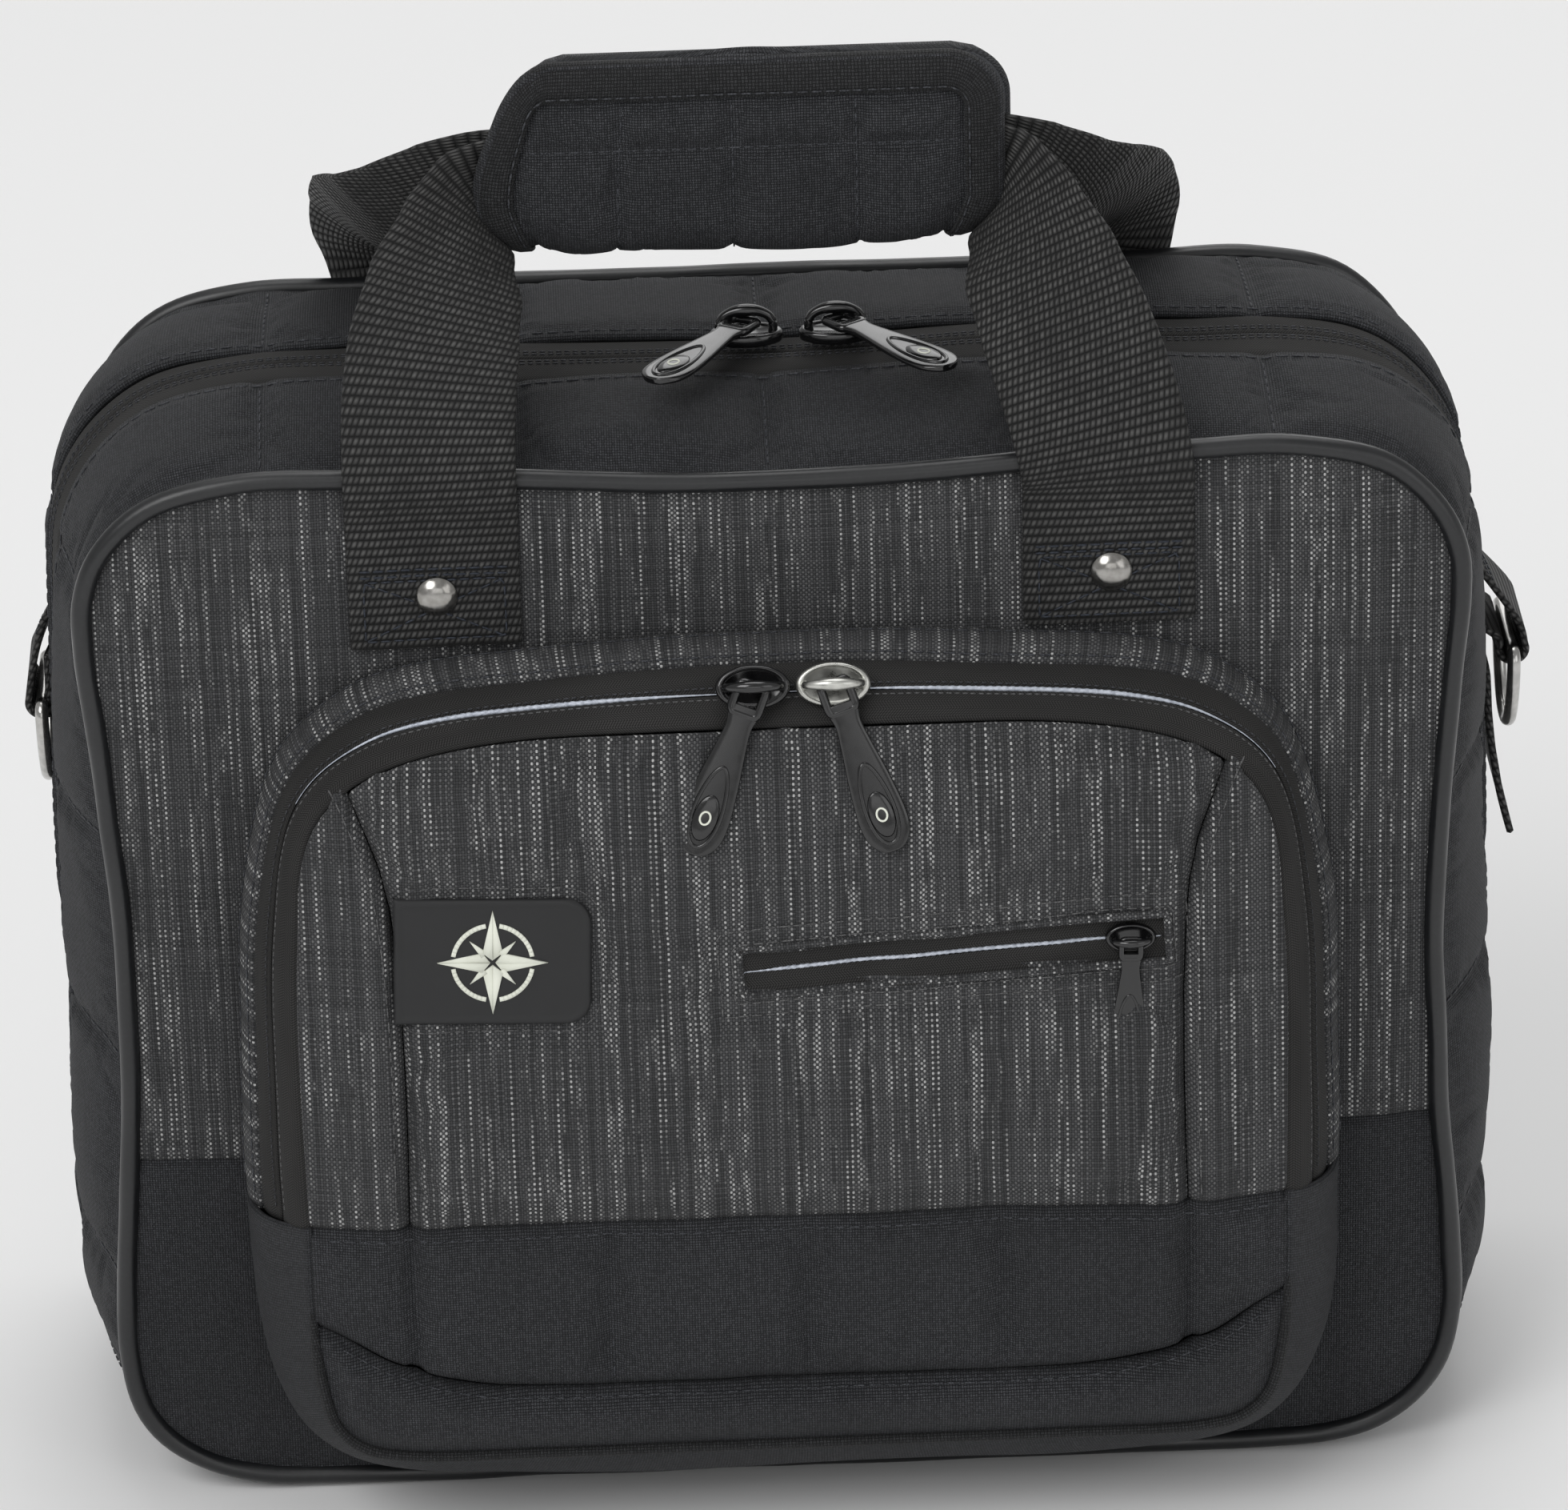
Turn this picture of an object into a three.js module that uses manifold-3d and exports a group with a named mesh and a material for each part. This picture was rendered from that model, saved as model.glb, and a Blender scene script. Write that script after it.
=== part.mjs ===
// Flight bag: a soft briefcase for flight crew, with a zipped front pocket, two webbing handles
// joined by a wrap grip, and a D-ring on each side for a shoulder strap.
// Millimetres, +X to the wearer's right, +Y to the back of the bag, +Z up, floor at Z = 0.
import * as THREE from "three";
import { mergeVertices } from "three/addons/utils/BufferGeometryUtils.js";
import Module from "manifold-3d";

const wasm = await Module();
wasm.setup();

// ---------------------------------------------------------------- driving dimensions
const GAP = 0.3; // clearance between touching pieces
const Y_FRONT = -53.5; // centre plane of the front piping, and face of the front panel
const Y_REAR = 57.5; // centre plane of the rear piping, and face of the back panel
const PIPING_R = 2.35;
const PANEL_T = 3; // foam-backed fabric panel
const GUSSET_T = 2.2; // foam-backed fabric gusset
const ZIP_END_Z = 32; // lower ends of the main zip on both sides
const PANEL_SPLIT_Z = 88; // seam between the melange cloth and the black lower cloth
const TAPE_T = 1.2;
const COIL_Y = -1.5; // main zip coil
const TAPE_FRONT_Y = -13.4; // edge of the front gusset at the zip
const TAPE_REAR_Y = 8.4; // edge of the rear gusset at the zip
const REAR_LIFT = 2; // the rear top edge stands this much higher
const FRONT_SAG = 4; // sag of the front top edge at its centre
const WEB_W = 38.1; // handle webbing, 1 1/2 inch
const WEB_T = 1.8;
const STRAP_X = 76; // centre of each handle webbing on the panels
const STRAP_LOW_Z = 206;
const STRAP_TOP_Z = 246;
const RIVET_Z = 230;
const RIVET_R = 4.6;
const POCKET_X = 1.5; // the pocket sits this far off the centre line
const POCKET_BASE_Y = -53.8;
const POCKET_HINGE_Z = 88; // fold line of the pocket flap
const POCKET_TOP_Y = -82; // face of the pocket at its top edge
const POCKET_FOLD_Y = -91; // face of the pocket at the fold line
const POCKET_LOW_Y = -90; // face of the pocket at its lower edge
const FACE_T = 3;
const GRIP_X = -4; // centre of the wrap grip
const GRIP_LEN = 118;
const GRIP_LOW_Z = 292;
const GRIP_TOP_Z = 340;
const PULL_LEN = 41;
const DRING_Y = 25;

// half outlines from the bottom centre to the top centre, right side, [x, z]
const BODY_HALF = [
  [0, 2.5], [40, 2.5], [80, 2.5], [112, 2.6], [126, 3.6], [137.5, 6.9], [147, 13.6], [153, 23], [155.7, 38],
  [155.2, 55], [153.6, 75], [152, 95], [151, 115], [150.7, 135], [151.2, 155], [152.4, 175], [154.2, 198],
  [155.8, 219], [155.3, 230.5], [150.8, 241.5], [139, 252.4], [119, 257.4], [95, 257.6], [60, 257.6], [30, 257.6], [0, 257.6],
];
const POCKET_BASE_HALF = [
  [0, 9], [35, 9], [70, 10], [94, 12], [106, 16], [116, 25], [122, 38], [125, 55], [126, 75], [126.5, 92],
  [126, 110], [125.5, 127], [124.5, 150], [122.5, 165], [120, 177], [117, 187], [112, 196], [104, 203.5],
  [94, 209.5], [80, 213], [60, 215], [30, 217], [0, 217.5],
];
const POCKET_FACE_HALF = [
  [0, 27], [30, 27], [60, 27], [92, 27.5], [102, 30], [108, 36], [111, 48], [112.5, 65], [112.6, 88], [113, 115], [113, 140],
  [112, 160], [110.5, 176], [107, 186], [100, 194], [90, 199.5], [78, 203], [60, 205.5], [30, 206.3], [0, 206.3],
];
// side seam of the pocket face, [x, z], left and right alike
const FACE_SEAM = [[101, 199], [98, 191.5], [95, 184], [92, 175], [90.2, 166], [89.2, 155], [88.6, 140], [88.4, 122], [88.6, 104], [89, 88]];
// lower edge of the black band of the pocket face, right half from the side to the centre
const BAND_LOW = [[112.5, 64], [101, 56], [90, 50.5], [78, 46.8], [66, 45.2], [33, 45], [0, 45]];

// ---------------------------------------------------------------- colours
const mat = (hex, rough, metal = 0) => new THREE.MeshStandardMaterial({ color: hex, roughness: rough, metalness: metal });
const BLACK_CLOTH = mat(0x23262a, 0.85);
const MELANGE = mat(0x4b4b4d, 0.9);
const WEBBING = mat(0x1d1c1c, 0.75);
const VINYL = mat(0x1b1c1e, 0.35);
const ZIP_TAPE = mat(0x262626, 0.9);
const LINING = mat(0x3a3d42, 0.7);
const BOARD = mat(0x1a1a1a, 0.6);
const BLACK_METAL = mat(0x111112, 0.3, 0.6);
const BARE_METAL = mat(0xb9b9b4, 0.35, 1);
const NICKEL = mat(0xa9a8a6, 0.25, 1);
const RUBBER = mat(0x2a2b2d, 0.6);

// ---------------------------------------------------------------- helpers
const root = new THREE.Group();
const V = (x, y, z) => new THREE.Vector3(x, y, z);
const lerp = (a, b, t) => a + (b - a) * t;
const clamp = (x, a, b) => Math.min(b, Math.max(a, x));

// turns a geometry's faces outwards and leaves only positions
function tidy(g) {
  let s = g.clone();
  s.deleteAttribute("normal");
  s.deleteAttribute("uv");
  s = mergeVertices(s, 1e-3);
  const p = s.attributes.position, ix = s.index.array;
  const keep = [];
  for (let i = 0; i < ix.length; i += 3) if (ix[i] !== ix[i + 1] && ix[i + 1] !== ix[i + 2] && ix[i] !== ix[i + 2]) keep.push(ix[i], ix[i + 1], ix[i + 2]);
  let vol = 0;
  const a = V(), b = V(), c = V();
  for (let i = 0; i < keep.length; i += 3) {
    a.fromBufferAttribute(p, keep[i]); b.fromBufferAttribute(p, keep[i + 1]); c.fromBufferAttribute(p, keep[i + 2]);
    vol += a.dot(b.cross(c));
  }
  if (vol < 0) for (let i = 0; i < keep.length; i += 3) [keep[i + 1], keep[i + 2]] = [keep[i + 2], keep[i + 1]];
  s.setIndex(keep);
  s.computeVertexNormals();
  return s;
}
function add(name, geometry, material) {
  const m = new THREE.Mesh(tidy(geometry), material);
  m.name = name;
  root.add(m);
  return m;
}
// a strip: box grid mapped by f(u, w, v), u along the length, v across, w = 0 inside and 1 outside
function strip(nu, nv, f) {
  const g = new THREE.BoxGeometry(1, 1, 1, nu, 1, nv);
  const p = g.attributes.position;
  for (let i = 0; i < p.count; i++) {
    const q = f(p.getX(i) + 0.5, p.getY(i) + 0.5, p.getZ(i) + 0.5);
    p.setXYZ(i, q.x, q.y, q.z);
  }
  return g;
}
// a closed loop with a closed section: torus grid mapped by f(u, k), k = 0 .. sec-1 the section's point
function loop(nu, sec, f) {
  const g = new THREE.TorusGeometry(10, 1, sec, nu);
  const p = g.attributes.position, uv = g.attributes.uv;
  for (let i = 0; i < p.count; i++) {
    const q = f((Math.round(uv.getX(i) * nu) % nu) / nu, Math.round(uv.getY(i) * sec) % sec);
    p.setXYZ(i, q.x, q.y, q.z);
  }
  return g;
}
// closed outline, u = 0 at the bottom centre, going right, up and round
class Outline {
  constructor(half, dx = 0) {
    const right = half.map(([x, z]) => [x + dx, z]);
    const left = half.slice(1, -1).reverse().map(([x, z]) => [-x + dx, z]);
    this.curve = new THREE.CatmullRomCurve3([...right, ...left].map(([x, z]) => V(x, 0, z)), true, "centripetal");
    this.curve.arcLengthDivisions = 1200;
  }
  at(u) {
    u = ((u % 1) + 1) % 1;
    const p = this.curve.getPointAt(u), t = this.curve.getTangentAt(u);
    return { x: p.x, z: p.z, nx: t.z, nz: -t.x };
  }
  // u on the right-hand side where the outline passes a height
  uAtZ(z) {
    let a = 0.0, b = 0.5;
    for (let i = 0; i < 40; i++) { const m = (a + b) / 2; if (this.at(m).z < z) a = m; else b = m; }
    return (a + b) / 2;
  }
  polygon(n, off) {
    const out = [];
    for (let i = 0; i < n; i++) { const q = this.at(i / n); out.push([q.x + q.nx * off, q.z + q.nz * off]); }
    return out;
  }
}
const body = new Outline(BODY_HALF);
const pocketBase = new Outline(POCKET_BASE_HALF, POCKET_X);
const pocketFace = new Outline(POCKET_FACE_HALF, POCKET_X);

// sag of the front top edge, none at the rear
function topShift(x, z, y) {
  const s = clamp((y - Y_FRONT) / (Y_REAR - Y_FRONT), 0, 1);
  const high = clamp((z - 225) / 30, 0, 1);
  const sag = Math.abs(x) < 95 ? Math.cos((Math.PI * x) / 190) ** 2 : 0;
  return high * (REAR_LIFT * s - FRONT_SAG * sag * (1 - s) ** 3);
}
// how far the gusset bulges past the piping, by height
const BULGE = [[0, 3], [4, 3.4], [14, 6], [30, 10.5], [50, 13.5], [90, 16.5], [130, 18.3], [170, 16.5], [213, 10], [240, 7.6], [262, 7]];
function bulge(z) {
  for (let i = 1; i < BULGE.length; i++) if (z <= BULGE[i][0]) {
    const [a, b] = [BULGE[i - 1], BULGE[i]];
    return lerp(a[1], b[1], clamp((z - a[0]) / (b[0] - a[0]), 0, 1));
  }
  return BULGE[BULGE.length - 1][1];
}
// a point of the gusset, d inside its outer skin
function skin(u, y, d) {
  const q = body.at(u), s = clamp((y - Y_FRONT) / (Y_REAR - Y_FRONT), 0, 1);
  const low = clamp((14 - q.z) / 8, 0, 1); // the floor has a flatter section
  const arc = 1 - Math.abs(2 * s - 1) ** lerp(2, 7, low);
  const r = bulge(q.z) * arc - d;
  const z = q.z + q.nz * r + topShift(q.x, q.z, y);
  return V(q.x + q.nx * r, y, Math.max(z, d > 0 ? Math.min(d, GUSSET_T) : 0));
}
// face of the pocket at a height
function faceY(z) {
  return z >= POCKET_HINGE_Z
    ? lerp(POCKET_FOLD_Y, POCKET_TOP_Y, (z - POCKET_HINGE_Z) / (206.3 - POCKET_HINGE_Z))
    : lerp(POCKET_LOW_Y, POCKET_FOLD_Y, clamp((z - 27) / (POCKET_HINGE_Z - 27), 0, 1));
}
// a point of the pocket's side wall, s = 0 on the panel and 1 at the face, d inside its outer skin
function pocketSkin(u, s, d) {
  const a = pocketBase.at(u), b = pocketFace.at(u), q = s ** 2.2;
  const x = lerp(a.x, b.x, q), z = lerp(a.z, b.z, q);
  const y = lerp(POCKET_BASE_Y, faceY(b.z), s);
  const f = lerp(0.1, 1.0, s);
  let nx = a.nx * Math.cos(f), nz = a.nz * Math.cos(f), ny = -Math.sin(f);
  return V(x - nx * d, y - ny * d, z - nz * d);
}

// flat plate from an outline in the XZ plane, with its front and back planes given by height
function plate(points, yf, t, holes = []) {
  const shape = new THREE.Shape(points.map(([x, z]) => new THREE.Vector2(x, z)));
  for (const h of holes) shape.holes.push(new THREE.Path(h.map(([x, z]) => new THREE.Vector2(x, z))));
  const g = new THREE.ExtrudeGeometry(shape, { depth: 1, steps: 1, bevelEnabled: false, curveSegments: 12 });
  const p = g.attributes.position;
  for (let i = 0; i < p.count; i++) {
    const x = p.getX(i), z = p.getY(i), w = p.getZ(i);
    p.setXYZ(i, x, yf(z, x) + w * t, z);
  }
  return g;
}
// keeps the part of a polygon where f(x, z) >= 0, f being linear
function clip(poly, f) {
  const out = [];
  for (let i = 0; i < poly.length; i++) {
    const a = poly[i], b = poly[(i + 1) % poly.length], fa = f(a[0], a[1]), fb = f(b[0], b[1]);
    if (fa >= 0) out.push(a);
    if ((fa > 0 && fb < 0) || (fa < 0 && fb > 0)) { const t = fa / (fa - fb); out.push([lerp(a[0], b[0], t), lerp(a[1], b[1], t)]); }
  }
  return out;
}
// solids for the few pieces that are joined from two shapes
function solid(g) {
  const s = tidy(g);
  return new wasm.Manifold(new wasm.Mesh({ numProp: 3, vertProperties: new Float32Array(s.attributes.position.array), triVerts: new Uint32Array(s.index.array) }));
}
function fromSolid(m) {
  const mesh = m.getMesh();
  const g = new THREE.BufferGeometry();
  g.setAttribute("position", new THREE.BufferAttribute(new Float32Array(mesh.vertProperties), mesh.numProp));
  g.setIndex(new THREE.BufferAttribute(new Uint32Array(mesh.triVerts), 1));
  return g;
}

// ---------------------------------------------------------------- panels and piping
for (const [where, y0] of [["front", Y_FRONT], ["rear", Y_REAR]])
  add("piping_" + where, loop(56, 5, (u, k) => {
    const q = body.at(u), a = (k / 5) * 2 * Math.PI;
    const r = PIPING_R * Math.cos(a);
    return V(q.x + q.nx * r, y0 + PIPING_R * Math.sin(a), q.z + q.nz * r + topShift(q.x, q.z, y0));
  }), VINYL);
const panelOutline = (y, off) => body.polygon(56, off).map(([x, z]) => [x, z + topShift(x, z, y)]);
const PANEL_OFF = -(PIPING_R + GAP);
const frontOutline = panelOutline(Y_FRONT, PANEL_OFF), rearOutline = panelOutline(Y_REAR, PANEL_OFF);
add("front_panel_upper", plate(clip(frontOutline, (x, z) => z - PANEL_SPLIT_Z - 0.15), () => Y_FRONT, PANEL_T), MELANGE);
add("front_panel_lower", plate(clip(frontOutline, (x, z) => PANEL_SPLIT_Z - 0.15 - z), () => Y_FRONT, PANEL_T), BLACK_CLOTH);
add("back_panel", plate(rearOutline, () => Y_REAR - PANEL_T, PANEL_T), BLACK_CLOTH);
add("lining_front", plate(panelOutline(Y_FRONT, -3), () => Y_FRONT + PANEL_T + GAP, 0.8), LINING);
add("lining_back", plate(panelOutline(Y_REAR, -3), () => Y_REAR - PANEL_T - GAP - 0.8, 0.8), LINING);

// ---------------------------------------------------------------- gusset, base and main zip
const U_END = body.uAtZ(ZIP_END_Z);
const GUSSET_Y0 = Y_FRONT + PANEL_T - GAP, GUSSET_Y1 = Y_REAR - PANEL_T + GAP;
const arch = (u) => lerp(U_END + 0.0005, 1 - U_END - 0.0005, u);
const wall = (w, t = GUSSET_T) => (w > 0.5 ? 0 : t);
add("gusset_front", strip(38, 3, (u, w, v) => skin(arch(u), lerp(GUSSET_Y0, TAPE_FRONT_Y - GAP / 2, v), wall(w))), BLACK_CLOTH);
add("gusset_rear", strip(38, 3, (u, w, v) => skin(arch(u), lerp(TAPE_REAR_Y + GAP / 2, GUSSET_Y1, v), wall(w))), BLACK_CLOTH);
const BASE_YS = [GUSSET_Y0, Y_FRONT + 9, -20, 2, 24, Y_REAR - 9, GUSSET_Y1];
add("gusset_base", strip(24, 6, (u, w, v) => skin(lerp(-U_END, U_END, u), BASE_YS[Math.round(v * 6)], wall(w))), BLACK_CLOTH);
// each tape is flat and ends in half of the coil
const tape = (yEdge, yCoil) => strip(38, 2, (u, w, v) => {
  const k = Math.round(v * 2), y = [yEdge, yCoil + Math.sign(yEdge - yCoil) * 2.2, yCoil][k];
  return skin(arch(u), y, w > 0.5 ? (k === 2 ? -0.5 : 0.5) : 0.5 + TAPE_T);
});
add("main_zip_tape_front", tape(TAPE_FRONT_Y + GAP / 2, COIL_Y - GAP / 2), ZIP_TAPE);
add("main_zip_tape_rear", tape(TAPE_REAR_Y - GAP / 2, COIL_Y + GAP / 2), ZIP_TAPE);
add("base_board", plate(
  [[-105, -46], [-101, -50], [101, -50], [105, -46], [105, 42], [101, 46], [-101, 46], [-105, 42]], () => 0, 1.8
).rotateX(Math.PI / 2).translate(0, 0, GUSSET_T + 2 * GAP), BOARD);

// ---------------------------------------------------------------- front pocket
const U_POCKET = pocketFace.uAtZ(POCKET_HINGE_Z);
const pArch = (u) => lerp(U_POCKET + 0.0006, 1 - U_POCKET - 0.0006, u);
const S1 = 0.46, S2 = 0.71; // gusset to outer tape, coil line
add("pocket_gusset_upper", strip(36, 2, (u, w, v) => pocketSkin(pArch(u), lerp(0, S1 - 0.005, v), wall(w, 2))), MELANGE);
add("pocket_zip_tape_outer", strip(36, 1, (u, w, v) => pocketSkin(pArch(u), lerp(S1 + 0.005, S2 - 0.006, v), w > 0.5 ? (v > 0.5 ? -0.5 : 0.3) : 1.5)), ZIP_TAPE);
add("pocket_zip_tape_inner", strip(36, 2, (u, w, v) => pocketSkin(pArch(u), lerp(S2 + 0.006, 1, v), w > 0.5 ? (v < 0.3 ? -0.5 : 0.2) : 1.4)), ZIP_TAPE);
add("pocket_gusset_lower", strip(30, 4, (u, w, v) => pocketSkin(lerp(-U_POCKET, U_POCKET, u), v, wall(w, 2))), BLACK_CLOTH);

const FACE_OFF = -1.9;
const faceOutline = pocketFace.polygon(72, FACE_OFF);
// polygon between two x-limits given by the seam line
const seamX = (z) => {
  const s = FACE_SEAM;
  if (z >= s[0][1]) return s[0][0] + (z - s[0][1]) * 0.45;
  for (let i = 1; i < s.length; i++) if (z >= s[i][1]) return lerp(s[i][0], s[i - 1][0], (z - s[i][1]) / (s[i - 1][1] - s[i][1]));
  return s[s.length - 1][0];
};
const flapOutline = clip(faceOutline, (x, z) => z - POCKET_HINGE_Z - 0.2);
function flapPiece(side) {
  // the flap outline is star-shaped about the seam line, so its points are sorted to each side of it
  const zs = FACE_SEAM.map((p) => p[1]);
  const seam = (sx, gap) => zs.map((z) => [POCKET_X + sx * (seamX(z) + gap), Math.max(z, POCKET_HINGE_Z + 0.2)]);
  const inside = (x, z) => (side === 0 ? Math.abs(x - POCKET_X) < seamX(z) - 0.2 : Math.sign(side) * (x - POCKET_X) > seamX(z) + 0.2);
  const edge = flapOutline.filter(([x, z]) => inside(x, z) && z > POCKET_HINGE_Z + 0.3);
  if (side === 0) {
    // top edge from right to left, then down the left seam and up the right seam
    const top = edge.filter(([, z]) => z > 195).sort((a, b) => b[0] - a[0]);
    return [...top, ...seam(-1, -0.15).filter(([, z]) => z < 199), ...seam(1, -0.15).filter(([, z]) => z < 199).reverse()];
  }
  const out = edge.sort((a, b) => Math.atan2(a[1] - 140, Math.abs(a[0] - POCKET_X) - 60) - Math.atan2(b[1] - 140, Math.abs(b[0] - POCKET_X) - 60));
  const lowX = 113 - 1.9;
  const s = seam(side, 0.15).filter(([, z]) => z < 198);
  return [[POCKET_X + side * lowX, POCKET_HINGE_Z + 0.2], ...out, ...s];
}
add("flap_centre", plate(flapPiece(0), (z) => faceY(z), FACE_T), MELANGE);
add("flap_side_left", plate(flapPiece(-1), (z) => faceY(z), FACE_T), MELANGE);
add("flap_side_right", plate(flapPiece(1), (z) => faceY(z), FACE_T), MELANGE);

// lower band and bottom wedge of the pocket face
const bandLine = [...BAND_LOW.map(([x, z]) => [x, z]), ...BAND_LOW.slice(0, -1).reverse().map(([x, z]) => [-x, z])];
const bandZ = (x) => {
  const a = Math.abs(x - POCKET_X);
  for (let i = 1; i < BAND_LOW.length; i++) if (a >= BAND_LOW[i][0]) return lerp(BAND_LOW[i][1], BAND_LOW[i - 1][1], (a - BAND_LOW[i][0]) / (BAND_LOW[i - 1][0] - BAND_LOW[i][0]));
  return BAND_LOW[0][1];
};
const faceXs = [-110.4, -101, -90, -78, -66, -33, 0, 33, 66, 78, 90, 101, 110.4];
add("pocket_band_lower", plate(
  [...faceXs.map((x) => [x + POCKET_X, bandZ(x + POCKET_X) + 0.15]), [110.6 + POCKET_X, POCKET_HINGE_Z - 0.2], [-110.6 + POCKET_X, POCKET_HINGE_Z - 0.2]],
  (z) => faceY(z), FACE_T), BLACK_CLOTH);
const wedgeLow = faceOutline.filter(([x, z]) => z < bandZ(x) - 1.5 && z < 60).sort((a, b) => Math.atan2(b[1] - 70, b[0]) - Math.atan2(a[1] - 70, a[0]));
add("pocket_wedge", plate([...faceXs.map((x) => [x + POCKET_X, bandZ(x + POCKET_X) - 0.15]), ...wedgeLow], (z) => faceY(z), FACE_T), BLACK_CLOTH);

// rubber patch and the small zip on the flap
const PROUD = (t) => (z) => faceY(z) - GAP - t;
function roundedRight(x0, x1, z0, z1, r, n = 5) {
  const out = [[x0, z0], [x1 - r, z0]];
  for (let i = 1; i <= n; i++) { const a = -Math.PI / 2 + (i / n) * (Math.PI / 2); out.push([x1 - r + r * Math.cos(a), z0 + r + r * Math.sin(a)]); }
  for (let i = 0; i <= n; i++) { const a = (i / n) * (Math.PI / 2); out.push([x1 - r + r * Math.cos(a), z1 - r + r * Math.sin(a)]); }
  out.push([x0, z1]);
  return out;
}
const turn = (pts, cx, cz, deg) => {
  const a = (deg * Math.PI) / 180, c = Math.cos(a), s = Math.sin(a);
  return pts.map(([x, z]) => [cx + (x - cx) * c - (z - cz) * s, cz + (x - cx) * s + (z - cz) * c]);
};
add("rubber_patch", plate(turn(roundedRight(-88.5, -43.5, 139, 169.5, 6), -66, 154, -2), PROUD(1.8), 1.8), RUBBER);
const SMALL_ZIP = { x0: -10, x1: 86, z0: 146, z1: 156.5, tilt: 3 };
add("small_zip_tape", plate(turn([[SMALL_ZIP.x0, SMALL_ZIP.z0], [SMALL_ZIP.x1, SMALL_ZIP.z0], [SMALL_ZIP.x1, SMALL_ZIP.z1], [SMALL_ZIP.x0, SMALL_ZIP.z1]], 38, 151.5, SMALL_ZIP.tilt), PROUD(1), 1), ZIP_TAPE);

// ---------------------------------------------------------------- zip sliders and pulls
// A slider stands on its plane: +X is its travel, +Y is out of the bag, and the bail over it runs along the pull.
// The pull's end bar passes under the bail, and the pull turns about that bar.
const BAR_H = 2.0; // height of the bar over the slider's plate
function sliderGeometry(len, wid, thick, bailDeg) {
  const oval = new THREE.Shape();
  oval.absellipse(0, 0, len / 2, wid / 2, 0, 2 * Math.PI, false, 0);
  const plateG = new THREE.ExtrudeGeometry(oval, { depth: thick, steps: 1, bevelEnabled: false, curveSegments: 9 });
  // extruded along +Z; turned so that its thickness runs along +Y, and its width along Z
  plateG.rotateX(-Math.PI / 2);
  // side view of the bail: a bridge with an opening for the pull's bar
  const b = new THREE.Shape([[-4.6, -0.4], [4.6, -0.4], [4.6, 2.4], [3.6, 5], [-3.6, 5], [-4.6, 2.4]].map((q) => new THREE.Vector2(...q)));
  b.holes.push(new THREE.Path([[-3, 0.05], [-3, 3.3], [-2.4, 3.9], [2.4, 3.9], [3, 3.3], [3, 0.05]].map((q) => new THREE.Vector2(...q))));
  const bailG = new THREE.ExtrudeGeometry(b, { depth: 2.4, steps: 1, bevelEnabled: false });
  bailG.translate(0, 0, -1.2); // lies along X, height along Y
  bailG.translate(0, thick, 0).rotateY((bailDeg * Math.PI) / 180);
  return fromSolid(solid(plateG).add(solid(bailG)));
}
// the pull points along +X from its bar at the origin, and its flat faces look along Y
function pullGeometry(len) {
  const half = [[-1.2, 3.9], [6.2, 3.9], [9.5, 3.0], [15, 3.6], [24, 4.9], [len - 8, 5.6], [len - 3.5, 5.0], [len - 1.2, 3.2], [len - 0.4, 0]];
  const s = new THREE.Shape([...half, ...half.slice(0, -1).reverse().map(([x, z]) => [x, -z])].map(([x, z]) => new THREE.Vector2(x * (1), -z)));
  s.holes.push(new THREE.Path([[0.8, 2.2], [6.2, 2.2], [6.2, -2.2], [0.8, -2.2]].map((q) => new THREE.Vector2(...q))));
  const g = new THREE.ExtrudeGeometry(s, { depth: 1.6, steps: 1, bevelEnabled: false });
  g.translate(0, 0, -0.8).rotateX(Math.PI / 2);
  return g;
}
// frames: columns are travel, out and their cross product
function placed(g, at, travel, out) {
  const t = travel.clone().normalize(), o = out.clone().normalize(), c = new THREE.Vector3().crossVectors(t, o);
  return g.clone().applyMatrix4(new THREE.Matrix4().makeBasis(t, o, c).setPosition(at));
}
const MAIN_TOP = skin(0.5, COIL_Y, -0.5).z; // ridge of the coil at the centre
const SLIDER_LEN = 15, SLIDER_WID = 9.5, SLIDER_T = 3;
const out = (elevDeg) => V(0, -Math.cos((elevDeg * Math.PI) / 180), Math.sin((elevDeg * Math.PI) / 180));
function slider(name, material, pullMaterial, at, outDir, inPlaneDeg, dropDeg, len, scale = 1) {
  // inPlaneDeg: direction of the bail in the slider's plane, 0 = travel (+X), 90 = towards the front or down
  const travel = V(1, 0, 0);
  add("slider_" + name, placed(sliderGeometry(SLIDER_LEN, SLIDER_WID, SLIDER_T, inPlaneDeg).scale(scale, scale, scale), at, travel, outDir), material);
  const bar = at.clone().addScaledVector(outDir, (SLIDER_T + BAR_H) * scale);
  const cross = new THREE.Vector3().crossVectors(travel, outDir); // local +Z
  const a = (inPlaneDeg * Math.PI) / 180;
  let dir = travel.clone().multiplyScalar(Math.cos(a)).addScaledVector(cross, -Math.sin(a));
  const d = (dropDeg * Math.PI) / 180;
  const lean = dir.clone().multiplyScalar(Math.cos(d)).addScaledVector(outDir, -Math.sin(d));
  const up = outDir.clone().multiplyScalar(Math.cos(d)).addScaledVector(dir, Math.sin(d));
  add("pull_" + name, placed(pullGeometry(len / scale).scale(scale, scale, scale), bar, lean, up), pullMaterial);
  return { bar, dir: lean, up };
}
// travel crossed with out gives +Z local = back or up, so 90 degrees in the plane points to the front or down
const pivots = {}; // bar centre and direction of each pull, and the D-ring bars
pivots.main_left = slider("main_left", BLACK_METAL, BLACK_METAL, V(-3, COIL_Y, MAIN_TOP + 0.9), V(0, 0, 1), 180 + 57, 0, PULL_LEN);
pivots.main_right = slider("main_right", BLACK_METAL, BLACK_METAL, V(17.5, COIL_Y, MAIN_TOP + 0.9), V(0, 0, 1), -53, 0, PULL_LEN);
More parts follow.
